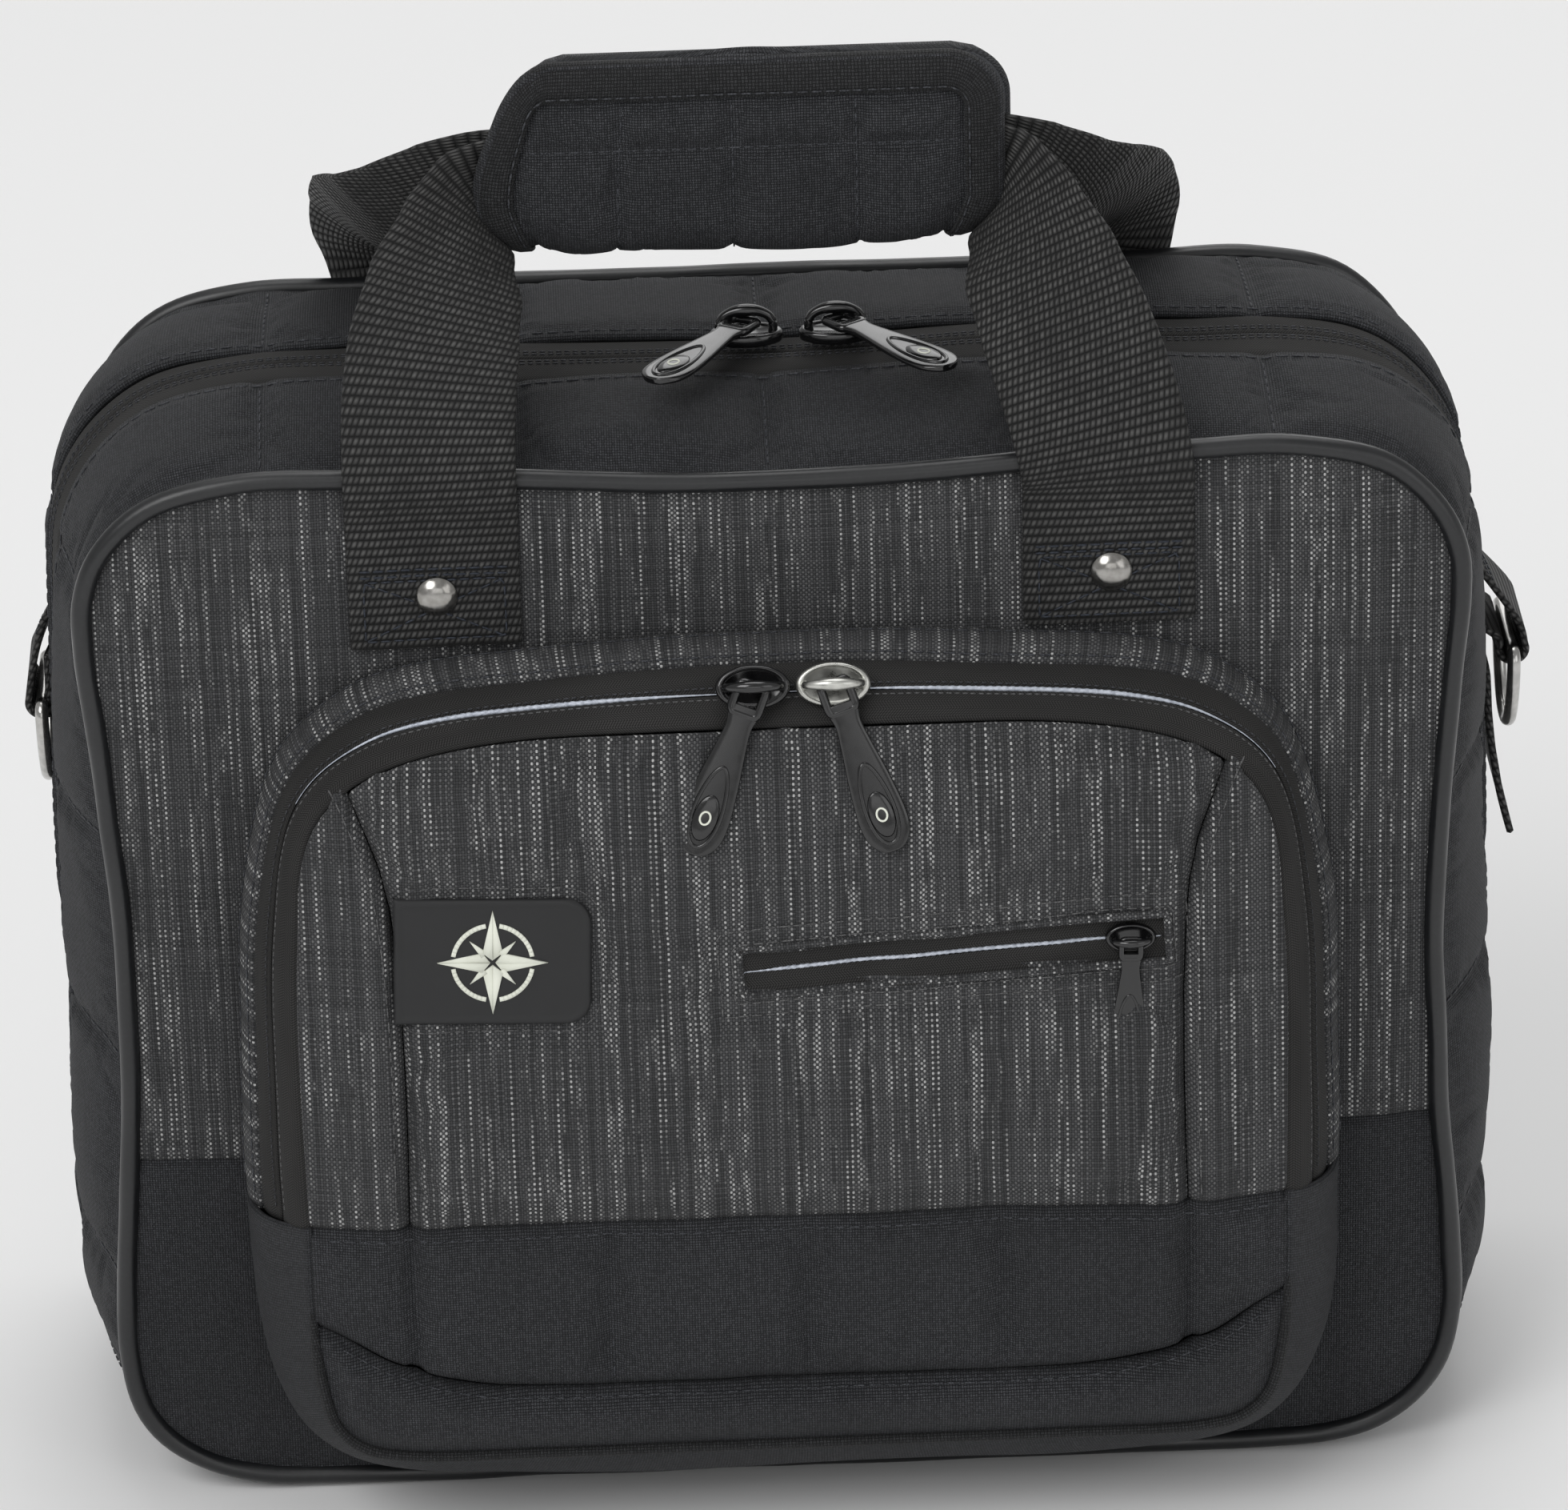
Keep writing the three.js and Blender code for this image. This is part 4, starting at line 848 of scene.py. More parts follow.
RUBBER = make_rubber("rubber_patch", (0.012, 0.0123, 0.013), (0.019, 0.0193, 0.0203))
EMBLEM = make_rubber("rubber_emblem", (0.74, 0.76, 0.66), (0.84, 0.86, 0.76), 0.5)
COIL = make_vinyl("nylon_coil", (0.014, 0.014, 0.014), 0.4)
BOARD = make_board()


# ------------------------------------------------------------------ cloth pieces whose placement is only baked into their meshes
def open_blend(o):
    """Cloth of the front half that joins the rear half at the ends of the main zip."""
    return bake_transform(o)


def fold_blend(o):
    """Cloth of the pocket face, which folds down at its hinge line; this only bakes its placement into the mesh and
    does not fold it.
    """
    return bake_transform(o)


# ------------------------------------------------------------------ front and back panels
FRONT_POLY = body.polygon(300, -(PIPING_R + 0.3))


def front_relief(x, z):
    d = poly_distance(FRONT_POLY, x, z)
    r = 2.0 * (1 - np.exp(-d / 8.0)) + 0.75 * soft(x / 34, z / 40, 1) * smooth(d, 2, 26)
    r = r + 0.35 * soft(x / 7.0, z / 60, 4) * np.exp(-d / 14.0) * smooth(d, 0.0, 4.0)  # puckers along the piping
    r = r - 0.8 * np.exp(-((z - SPLIT_Z) / 1.6) ** 2)
    return r


def front_y(x, z):
    return Y_FRONT - front_relief(x, z)


def back_relief(x, z):
    d = poly_distance(FRONT_POLY, x, z)
    r = 3.0 * (1 - np.exp(-d / 14.0)) + 1.0 * soft(x / 46, z / 50, 5) * smooth(d, 2, 30)
    return r + 0.3 * soft(x / 7.0, z / 60, 6) * np.exp(-d / 14.0) * smooth(d, 0.0, 4.0)


def back_y(x, z):
    return Y_REAR + back_relief(x, z)


def panel(name, yfun, y0, z0, z1, t, mats, sgn, off=-(PIPING_R - 0.5), cols=120, step=2.6):
    Z, X = body.rows(off, z0, z1, step)
    c = np.linspace(-1, 1, cols)
    x = X[:, None] * c[None]
    z = np.repeat(Z[:, None], cols, 1)
    y = yfun(x, z) if callable(yfun) else np.full_like(x, yfun)
    P = np.stack([x, y, z + top_shift(x, z, y0)], -1)
    return shell(name, P, np.stack([x, z], -1), t, mats, sgn)


o = panel("front_panel_melange", front_y, Y_FRONT, SPLIT_Z + 0.1, 400, PANEL_T, [MELANGE, LINING], -1)
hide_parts("front_panel_upper"); place(o, "front_shell")
o = panel("front_panel_black", front_y, Y_FRONT, 0, SPLIT_Z - 0.1, PANEL_T, [BLACK, LINING], -1)
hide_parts("front_panel_lower"); place(o, "front_shell")
o = panel("back_panel_cloth", back_y, Y_REAR, 0, 400, PANEL_T, [BLACK, LINING], 1)
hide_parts("back_panel"); place(o, "root")


def lining_y(y0, way):
    def f(x, z):
        d = poly_distance(FRONT_POLY, x, z)
        return y0 + way * 0.7 * soft(x / 30, z / 34, 7) * smooth(d, 2, 20)
    return f


for nm, y0, sg, bd, cad in (("lining_front_cloth", Y_FRONT + PANEL_T + 0.6, 1, "front_shell", "lining_front"), ("lining_back_cloth", Y_REAR - PANEL_T - 0.6, -1, "root", "lining_back")):
    o = panel(nm, lining_y(y0 + sg * 0.6, sg), Y_FRONT if sg > 0 else Y_REAR, 6.5, 400, 0.6, [LINING], sg, off=-4.2, cols=70, step=4.5)
    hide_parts(cad)
    place(o, bd)

# ------------------------------------------------------------------ piping
for nm, y0, bd in (("front", Y_FRONT, "front_shell"), ("rear", Y_REAR, "root")):
    u = np.arange(420) / 420
    x, z, nx, nz = body.at(u)
    a = u * body.total
    w = 0.22 * soft(a / 18, a * 0, 8)
    path = np.stack([x + nx * w, y0 + 0.25 * soft(a / 25, a * 0 + 3, 9), z + nz * w + top_shift(x, z, y0)], 1)
    path[:, 2] = np.maximum(path[:, 2], PIPING_R + 0.05)
    o = tube("piping_%s_vinyl" % nm, path, PIPING_R * (1 + 0.03 * soft(a / 12, a * 0 + 5, 10)), [VINYL], 14, closed=True, ref=(0, 1, 0))
    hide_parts("piping_" + nm); place(o, bd)


# ------------------------------------------------------------------ gusset, base and main zip
QUILT = 57.0


def skin(u, y, d=0.0, quilt=0.0, und=1.0):
    u, y = np.broadcast_arrays(np.asarray(u, float), np.asarray(y, float))
    x, z, nx, nz = body.at(u)
    s = clamp((y - Y_FRONT) / (Y_REAR - Y_FRONT))
    low = clamp((14 - z) / 8)
    arc = 1 - np.abs(2 * s - 1) ** lerp(2.0, 7.0, low)
    a = ((u % 1.0) - 0.5) * body.total
    edge = smooth(np.minimum(y - Y_FRONT, Y_REAR - y), 2, 15)
    free = smooth(z, 14, 50)
    r = np.interp(z, BULGE_Z, BULGE_R) * arc - d + und * edge * free * 0.95 * soft(a / 40, y / 24, 2)
    if quilt:
        dl = np.abs(((a / QUILT) + 0.5) % 1.0 - 0.5) * QUILT
        r = r + quilt * edge * free * (-0.95 * np.exp(-(dl / 2.2) ** 2) + 0.7 * smooth(dl, 1, 22) - 0.2)
        r = r + quilt * 0.35 * free * soft(a / 6.5, y / 40, 3) * np.exp(-np.minimum(y - Y_FRONT, Y_REAR - y) / 9.0)
    Z = z + nz * r + top_shift(x, z, y)
    Z = np.maximum(Z, np.where(d > 0, np.minimum(d, GUSSET_T), 0.0))
    return np.stack([x + nx * r, y, Z], -1)


def normal_of(f, u, y, du=1e-4, dy=0.05):
    a = f(u + du, y) - f(u - du, y)
    b = f(u, y + dy) - f(u, y - dy)
    return unit(np.cross(b, a))


def strip_grid(u0, u1, n, ys):
    return np.meshgrid(np.linspace(u0, u1, n), np.asarray(ys, float), indexing="ij")


def arc_len(u):
    return (u - 0.5) * body.total


G0, G1 = Y_FRONT + PANEL_T - 1.3, Y_REAR - PANEL_T + 1.3
cloth_skin = lambda u, y, d=0.0: skin(u, y, d, 1.0)
for nm, ya, yb, cad in (("front", G0, TAPE_FRONT_Y + 0.1, "gusset_front"), ("rear", TAPE_REAR_Y - 0.1, G1, "gusset_rear")):
    U, Y = strip_grid(U_END + 0.0004, 1 - U_END - 0.0004, 420, np.linspace(ya, yb, 20))
    P = cloth_skin(U, Y)
    dl = np.abs(((arc_len(U) / QUILT) + 0.5) % 1.0 - 0.5) * QUILT
    sewn = [np.clip(1.35 - np.minimum(Y - ya, yb - Y) / 3.6, 0, 1), ridge(dl, 1.9), ridge(U - U_END, 0.004), ridge(U - 1 + U_END, 0.004)]
    P = billow(P, np.maximum.reduce(sewn), -1, 3.0, 14, 1.3, 0.035)
    o = shell("gusset_%s_cloth" % nm, P, np.stack([Y, arc_len(U)], -1), GUSSET_T - 0.3, [BLACK, LINING], -1)
    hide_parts(cad)
    open_blend(o) if nm == "front" else place(o, "root")

U, Y = strip_grid(-U_END, U_END, 230, np.concatenate([np.linspace(G0, Y_FRONT + 9, 6), np.linspace(Y_FRONT + 11, Y_REAR - 11, 34), np.linspace(Y_REAR - 9, G1, 6)]))
P = cloth_skin(U, Y)
o = shell("gusset_base_cloth", P, np.stack([Y, arc_len(U % 1.0) - np.where(U < 0, 0, 0)], -1), GUSSET_T - 0.3, [BLACK, LINING], -1)
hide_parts("gusset_base"); open_blend(o)


def tape_depth(y, yedge):
    inside = (yedge - y) * np.sign(yedge - COIL_Y)  # how far from the cloth's edge, towards the coil
    return np.interp(inside, [-3.5, -0.6, 0.4, 1.6, 30], [2.7, 2.4, 1.5, 0.95, 0.75]) + 0.35 * np.exp(-((y - COIL_Y) / 0.7) ** 2)


for nm, yedge, ycoil, bd in (("front", TAPE_FRONT_Y, COIL_Y - 0.12, None), ("rear", TAPE_REAR_Y, COIL_Y + 0.12, "root")):
    sg = 1 if yedge > ycoil else -1
    ys = np.array([yedge + sg * 3.2, yedge + sg * 1.5, yedge + sg * 0.3, yedge - sg * 0.8, yedge - sg * 2.0] + list(np.linspace(yedge - sg * 3.5, ycoil + sg * 1.4, 6)) + [ycoil + sg * 0.7, ycoil])
    ys = np.sort(ys)
    U, Y = strip_grid(U_END + 0.0004, 1 - U_END - 0.0004, 420, ys)
    P = skin(U, Y, tape_depth(Y, yedge))
    o = shell("main_zip_tape_%s_woven" % nm, P, np.stack([arc_len(U), Y - COIL_Y], -1), 0.8, [TAPE], -1, rim=0.1)
    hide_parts("main_zip_tape_" + nm)
    open_blend(o) if bd is None else place(o, bd)
    # coil under the tape
    coil = Bits()
    k = int(body.total * (1 - 2 * U_END) / 1.9)
    ring_r, wire = 1.05, 0.33
    ts = np.arange(7) / 7 * 2 * np.pi
    ws = np.arange(4) / 4 * 2 * np.pi + 0.4
    F = [[i * 4 + j, i * 4 + (j + 1) % 4, ((i + 1) % 7) * 4 + (j + 1) % 4, ((i + 1) % 7) * 4 + j] for i in range(7) for j in range(4)]
    us = np.linspace(U_END + 0.002, 1 - U_END - 0.002, k)
    yc = COIL_Y + sg * 0.95
    C = skin(us, np.full(k, yc), 3.1)
    D = unit(skin(us + 1e-4, np.full(k, yc), 3.1) - skin(us - 1e-4, np.full(k, yc), 3.1))
    Nn = unit(np.cross(np.array([0, 1.0, 0]), D))
    for c, dd, nn in zip(C, D, Nn):
        ring = [c + np.array([0, 1.0, 0]) * (ring_r + wire * math.cos(w)) * math.cos(t) * 1.15 + nn * (ring_r + wire * math.cos(w)) * math.sin(t) + dd * wire * math.sin(w) for t in ts for w in ws]
        coil.add(ring, F)
    o = coil.make("main_zip_coil_" + nm, COIL)
    open_blend(o) if bd is None else place(o, bd)

# ------------------------------------------------------------------ front pocket
FACE_POLY = pface.polygon(300, -1.0)
_zs = np.array([p[1] for p in FACE_SEAM][::-1], float)
_xs = np.array([p[0] for p in FACE_SEAM][::-1], float)


def seam_x(z):
    z = np.asarray(z, float)
    return np.where(z > 199, 101 + (z - 199) * 0.45, np.interp(z, _zs, _xs))


def band_z(x):
    b = np.array(BAND_LOW[::-1], float)
    a = np.abs(np.asarray(x, float) - POCKET_X)
    return np.interp(a, b[:, 0], b[:, 1])


_bx = np.linspace(-114, 114, 229)
_bz = np.convolve(np.pad(band_z(_bx + POCKET_X), 9, mode="edge"), np.ones(19) / 19, "valid")
band_s = lambda x: np.interp(np.asarray(x, float) - POCKET_X, _bx, _bz)
SZ = dict(x0=-10.0, x1=86.0, z0=146.0, z1=156.5, cx=38.0, cz=151.5, a=math.radians(3.0))


def slot_local(x, z):
    c, s = math.cos(SZ["a"]), math.sin(SZ["a"])
    dx, dz = x - SZ["cx"], z - SZ["cz"]
    return SZ["cx"] + dx * c + dz * s, SZ["cz"] - dx * s + dz * c


def slot_world(x, z):
    c, s = math.cos(SZ["a"]), math.sin(SZ["a"])
    dx, dz = x - SZ["cx"], z - SZ["cz"]
    return SZ["cx"] + dx * c - dz * s, SZ["cz"] + dx * s + dz * c


def face_relief(x, z):
    x, z = np.broadcast_arrays(np.asarray(x, float), np.asarray(z, float))
    X = x - POCKET_X
    d = poly_distance(FACE_POLY, x, z)
    r = 3.4 * (1 - np.exp(-d / 14.0))
    r = r + 0.85 * soft(x / 26, z / 44, 3) * smooth(d, 3, 24)
    r = r + 0.25 * soft(x / 9, z / 16, 11) * smooth(d, 2, 12)
    ds = np.abs(np.abs(X) - seam_x(z))
    on = smooth(z, 47, 52) * (z < 203)
    r = r + on * (-2.3 * np.exp(-(ds / 1.5) ** 2) + 0.9 * np.exp(-((ds - 6) / 5.0) ** 2))
    r = r + on * 0.35 * soft(z / 6.0, X * 0, 4) * np.exp(-ds / 7.0)
    # folds that hang from the zip
    for x0, w, h, dep in ((-62, 7, 0.9, 46), (-46, 6, -1.1, 40), (-30, 7, 1.1, 52), (-17, 5, -0.9, 30), (34, 7, -1.0, 42), (48, 7, 1.0, 50), (66, 7, -0.8, 36), (8, 6, 0.7, 30)):
        lean = (206 - z) * 0.10 * np.sign(x0)
        r = r + h * np.exp(-((X - x0 + lean) / w) ** 2) * smooth(z, 206 - dep, 198) * smooth(d, 0.5, 6)
    # seam between the melange and the black band, sewn lines down the band
    r = r - 1.5 * np.exp(-((z - (HINGE_Z - 0.3)) / 1.3) ** 2)
    bz = band_s(x)
    inband = smooth(z - bz, 0, 3) * smooth(HINGE_Z - z, 0, 3)
    for xq in (-42.0, 3.0, 48.0):
        r = r - 0.9 * np.exp(-((x - xq) / 1.3) ** 2) * inband
    r = r + 0.5 * inband * np.abs(np.sin(np.pi * (x + 42) / 45.0)) * (np.abs(X) < 88)
    t = bz - z
    r = r - 2.0 * np.exp(-(t / 1.5) ** 2) + 3.2 * smooth(t, 0.5, 6) * smooth(d, -1, 7)
    # recess of the small zip
    a, b = slot_local(x, z)
    ins = smooth(np.minimum(np.minimum(a - SZ["x0"], SZ["x1"] - a), np.minimum(b - SZ["z0"], SZ["z1"] - b)), -0.8, 1.0)
    out = smooth(np.minimum(np.minimum(a - SZ["x0"] + 7, SZ["x1"] + 7 - a), np.minimum(b - SZ["z0"] + 7, SZ["z1"] + 7 - b)), 0, 5)
    return r - 1.5 * ins + 0.35 * out


def on_face(x, z, off=0.0):
    x, z = np.broadcast_arrays(np.asarray(x, float), np.asarray(z, float))
    return np.stack([x, face_y(z) - face_relief(x, z) - off, z], -1)


def face_normal(x, z, h=0.4):
    a = on_face(x + h, z) - on_face(x - h, z)
    b = on_face(x, z + h) - on_face(x, z - h)
    return unit(np.cross(a, b))


_rz, _rx = pface.rows(-1.0, 0, 400, 0.7)
face_x = lambda z: np.interp(z, _rz, _rx)
TOPZ = _rz[-1]
zlist = np.concatenate([np.arange(HINGE_Z + 0.1, 196, 1.9), [198.0]])
ztop, xtop = pface.rows(-1.0, 198.8, 400, 1.6)


def sewn_down(x, z):
    """1 where the pocket face is held by a seam, the patch or the small zip."""
    X = x - POCKET_X
    d = poly_distance(FACE_POLY, x, z)
    on = [np.clip(1.4 - d / 3.0, 0, 1), ridge(np.abs(X) - seam_x(z) - 1.5, 3.2) * (z < 203), ridge(z - HINGE_Z, 3.4), ridge(z - band_s(x), 3.0)]
    a, b = slot_local(x, z)
    on.append(smooth(np.minimum(np.minimum(a - SZ["x0"] + 7.5, SZ["x1"] + 7.5 - a), np.minimum(b - SZ["z0"] + 7.5, SZ["z1"] + 7.5 - b)), 0, 2))
    on.append(smooth(np.minimum(26.5 - np.abs(x + 66), 19.5 - np.abs(z - 154.2)), 0, 2))
    on += [ridge(x - k, 1.7) * (z < HINGE_Z) for k in (-42.0, 3.0, 48.0)]
    return np.maximum.reduce(on)


def rows_piece(name, zz, xa, xb, cols, mats, t=2.6, sim=0):
    c = np.linspace(0, 1, cols)
    x = xa[:, None] + (xb - xa)[:, None] * c[None]
    z = np.repeat(zz[:, None], cols, 1)
    P = on_face(x, z)
    if sim:
        P = billow(P, sewn_down(x, z), -1, sim, 18, 1.7, 0.04)
    return shell(name, P, np.stack([x, z], -1), t, mats, -1)


zc = np.concatenate([zlist, ztop])
xc = np.minimum(np.where(zc < 199, seam_x(zc), 1e9), face_x(zc)) - 0.12
o = rows_piece("pocket_flap_centre", zc, POCKET_X - xc, POCKET_X + xc, 120, [MELANGE, LINING], sim=2.2)
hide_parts("flap_centre"); fold_blend(o)
zs_ = zlist[zlist < 197.5]
for side, nm in ((-1, "left"), (1, "right")):
    a, b = seam_x(zs_) + 0.12, np.maximum(face_x(zs_), seam_x(zs_) + 0.8)
    xa, xb = (POCKET_X + a, POCKET_X + b) if side > 0 else (POCKET_X - b, POCKET_X - a)
    o = rows_piece("pocket_flap_" + nm, zs_, xa, xb, 16, [MELANGE, LINING])
    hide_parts("flap_side_" + nm); fold_blend(o)

c = np.linspace(-1, 1, 130)
v = np.linspace(0, 1, 24)
zt = HINGE_Z - 0.1
z = band_s(POCKET_X + c * 112)[:, None] * (1 - v)[None] + zt * v[None] + 0.1 * (1 - v)[None]
x = POCKET_X + c[:, None] * face_x(z)
P = on_face(x, z)
P = billow(P, sewn_down(x, z), 1, 3.0, 16, 1.4, 0.035)
o = shell("pocket_band_cloth", P, np.stack([x, z], -1), 2.6, [BLACK_SOFT, LINING], 1)
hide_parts("pocket_band_lower"); fold_blend(o)

# wedge under the band: from the outline's lower part up to the band line
n = 150
zend = float(band_s(POCKET_X + 112)) - 0.3
ue = pface.u_at_z(zend)
ub = np.linspace(-ue, ue, n)
bx, bz_, nx_, nz_ = pface.at(ub)
bot = np.stack([bx - nx_ * 1.0, bz_ - nz_ * 1.0], 1)
cc = np.linspace(-1, 1, 400)
top = resample(np.stack([POCKET_X + cc * (face_x(zend) - 0.1), band_s(POCKET_X + cc * face_x(zend)) - 0.12], 1), n=n)
v = np.linspace(0, 1, 14)[None, :, None]
XZ = bot[:, None] * (1 - v) + top[:, None] * v
P = on_face(XZ[..., 0], XZ[..., 1])
o = shell("pocket_wedge_cloth", P, XZ, 2.6, [BLACK_SOFT, LINING], 1)
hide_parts("pocket_wedge"); place(o, "front_shell")


def pocket_skin(u, s, d=0.0, puff=0.0, s0=0.0, s1=1.0):
    u, s = np.broadcast_arrays(np.asarray(u, float), np.asarray(s, float))
    ax, az, anx, anz = pbase.at(u)
    bx, bz, bnx, bnz = pface.at(u)
    q = s ** 2.2
    x, z = lerp(ax, bx, q), lerp(az, bz, q)
    y = lerp(np.full_like(x, POCKET_BASE_Y - 0.4), face_y(bz), s)
    f = lerp(0.1, 1.0, s)
    n = np.stack([anx * np.cos(f), -np.sin(f), anz * np.cos(f)], -1)
    a = u * pface.total
    w = clamp((s - s0) / (s1 - s0))
    r = puff * 4 * w * (1 - w) + 0.45 * soft(a / 24, s * 2, 5) * smooth(s, 0.02, 0.2) * smooth(1 - s, 0.0, 0.15) - d
    return np.stack([x, y, z], -1) + n * (r[..., None] if np.ndim(r) else r)


def pocket_strip(name, u0, u1, n, ss, d, t, mats, puff=0.0, uvm=1, sgn=1, rim=0.35):
    U, S = np.meshgrid(np.linspace(u0, u1, n), ss, indexing="ij")
    D = np.interp(S, ss, d) if np.ndim(d) else d
    P = pocket_skin(U, S, D, puff, ss[0], ss[-1])
    across = np.concatenate([[0], np.cumsum(np.linalg.norm(np.diff(P[n // 2], axis=0), axis=1))])
    A = U * pface.total
    uv = np.stack([A, np.repeat(across[None], n, 0)], -1)
    return shell(name, P, uv, t, mats, sgn, rim=rim)


o = pocket_strip("pocket_gusset_melange", U_POCKET, 1 - U_POCKET, 300, np.linspace(0.0, S1 + 0.004, 12), 0.0, 1.8, [MELANGE, LINING], 1.1)
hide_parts("pocket_gusset_upper"); place(o, "front_shell")
o = pocket_strip("pocket_gusset_black", -U_POCKET, U_POCKET, 240, np.linspace(0.0, 1.0, 26), 0.0, 1.8, [BLACK_SOFT, LINING], 1.6)
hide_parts("pocket_gusset_lower"); place(o, "front_shell")
ss = np.array([S1 - 0.05, S1 - 0.01, S1 + 0.01, S1 + 0.04, 0.58, 0.64, S2 - 0.02, S2 - 0.007])
o = pocket_strip("pocket_zip_tape_outer_woven", U_POCKET, 1 - U_POCKET, 300, ss, [2.2, 1.8, 1.1, 0.75, 0.6, 0.55, 0.55, 0.8], 0.8, [TAPE], 0.3, rim=0.1)
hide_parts("pocket_zip_tape_outer"); place(o, "front_shell")
ss = np.array([S2 + 0.007, S2 + 0.02, 0.78, 0.85, 0.92, 0.96, 0.99, 1.01])
o = pocket_strip("pocket_zip_tape_inner_woven", U_POCKET, 1 - U_POCKET, 300, ss, [0.8, 0.55, 0.35, 0.25, 0.3, 0.45, 0.8, 1.3], 0.8, [TAPE], 0.5, rim=0.1)
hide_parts("pocket_zip_tape_inner"); fold_blend(o)


# ------------------------------------------------------------------ stitch rows, one mesh for each way of moving
ST = {k: Bits() for k in ("open", "root", "front", "flap", "grip", "gripflap", "band", "hinge")}


def row_on_skin(key, u0, u1, y, off=0.0, f=None, **kw):
    n = max(8, int(abs(u1 - u0) * body.total / 3))
    u = np.linspace(u0, u1, n)
    f = f or cloth_skin
    P = f(u, np.full(n, y)) if off == 0 else f(u, np.full(n, y), off)
    stitches(ST[key], P, normal_of(lambda a, b: f(a, b), u, np.full(n, y)), **kw)


def row_across(key, u, y0, y1, **kw):
    ys = np.linspace(y0, y1, 14)
    P = cloth_skin(np.full(14, u), ys)
    stitches(ST[key], P, normal_of(lambda a, b: cloth_skin(a, b), np.full(14, u), ys), **kw)


row_on_skin("open", U_END + .002, 1 - U_END - .002, TAPE_FRONT_Y - 2.0)
row_on_skin("root", U_END + .002, 1 - U_END - .002, TAPE_REAR_Y + 2.0)
tape_skin_f = lambda u, y, d=0.0: skin(u, y, tape_depth(y, TAPE_FRONT_Y if np.mean(y) < COIL_Y else TAPE_REAR_Y))
for key, y in (("open", COIL_Y - 1.7), ("root", COIL_Y + 1.7), ("open", COIL_Y - 3.0), ("root", COIL_Y + 3.0)):
    row_on_skin(key, U_END + .002, 1 - U_END - .002, y, f=tape_skin_f, length=1.25, gap=0.65, r=0.24, sink=0.1)
half = int(body.total * (0.5 - U_END) / QUILT)
for k in range(-half, half + 1):
    u = 0.5 + k * QUILT / body.total
    row_across("open", u, TAPE_FRONT_Y - 3.2, Y_FRONT + 5)
    row_across("root", u, TAPE_REAR_Y + 3.2, Y_REAR - 5)
for s in (-1, 1):  # the sewn join of the gusset and the base
    uu = s * (U_END - 0.004)
    ys = np.linspace(G0 + 3, G1 - 3, 30)
    P = cloth_skin(np.full(30, uu), ys)
    stitches(ST["band"], P, normal_of(lambda a, b: cloth_skin(a, b), np.full(30, uu), ys))


def row_on_face(key, x, z, off=0.0, **kw):
    P = resample(np.stack([x, z], 1), step=2.0)
    stitches(ST[key], on_face(P[:, 0], P[:, 1], off), face_normal(P[:, 0], P[:, 1]), **kw)


def row_on_pocket(key, u0, u1, s, f=None, **kw):
    n = 160
    u = np.linspace(u0, u1, n)
    P = (f or (lambda a, b: pocket_skin(a, b, 0.0, 1.1, 0.0, S1)))(u, np.full(n, s))
    q = (f or (lambda a, b: pocket_skin(a, b, 0.0, 1.1, 0.0, S1)))
    a = q(u + 1e-4, np.full(n, s)) - q(u - 1e-4, np.full(n, s))
    b = q(u, np.full(n, s + 1e-3)) - q(u, np.full(n, s - 1e-3))
    stitches(ST[key], P, unit(np.cross(a, b)), **kw)


row_on_pocket("front", U_POCKET + .004, 1 - U_POCKET - .004, S1 - 0.045)
row_on_pocket("front", U_POCKET + .004, 1 - U_POCKET - .004, 0.12)
tp = lambda a, b: pocket_skin(a, b, np.interp(b, [0.58, 0.64, 0.75, 0.85], [0.6, 0.55, 0.45, 0.25]), 0.3, S1, 1.0)
row_on_pocket("front", U_POCKET + .004, 1 - U_POCKET - .004, S2 - 0.045, tp, length=1.2, gap=0.6, r=0.2, sink=0.05)
row_on_pocket("flap", U_POCKET + .004, 1 - U_POCKET - .004, S2 + 0.05, tp, length=1.2, gap=0.6, r=0.2, sink=0.15)

zz = np.linspace(HINGE_Z + 2, 196, 60)
for sd in (-1, 1):
    row_on_face("flap", POCKET_X + sd * (seam_x(zz) + 3.0), zz, length=2.6, gap=0.9, r=0.22, sink=0.16)
xx = np.linspace(-108, 108, 90) + POCKET_X
row_on_face("hinge", xx, np.full(90, HINGE_Z - 2.6), length=2.6, r=0.24)
row_on_face("front", np.linspace(-106, 106, 90) + POCKET_X, band_s(np.linspace(-106, 106, 90) + POCKET_X) - 2.2, r=0.24)
for xq in (-42.0, 3.0, 48.0):
    z_ = np.linspace(band_s(xq) + 2, HINGE_Z - 3, 20)
    row_on_face("front", np.full(20, xq), z_, length=2.6, r=0.24)

# silver line of the pocket zip, and the edge binding under the pocket
u = np.linspace(0.5 - 112 / pface.total, 0.5 + 112 / pface.total, 520)
P = pocket_skin(u, np.full(520, S2), 0.42)
A = (u - 0.5) * pface.total
gapm = smooth(np.abs(A - 1.0), 7, 45)
far = smooth(108 - np.abs(A), 0, 42)
rr = 0.1 + (0.58 * gapm * far) * (0.9 + 0.1 * np.sign(np.sin(A * 2 * np.pi / 1.6)))
o = tube("pocket_zip_reflective_line", P, rr, [SILVER], 8, ref=(0.3, 0, 1))
place(o, "front_shell")
u = np.linspace(-U_POCKET * 0.93, U_POCKET * 0.93, 200)
x, z, nx, nz = pface.at(u)
P = np.stack([x - nx * 0.2, face_y(z) - 0.4, z - nz * 0.2], 1)
ends = smooth(U_POCKET * 0.93 - np.abs(u), 0, U_POCKET * 0.16)
P[:, 1] += 1.6 * (1 - ends)
o = tube("pocket_bottom_binding", P, 0.25 + 1.1 * ends, [BINDING], 10, ref=(0, 1, 0))
place(o, "front_shell")

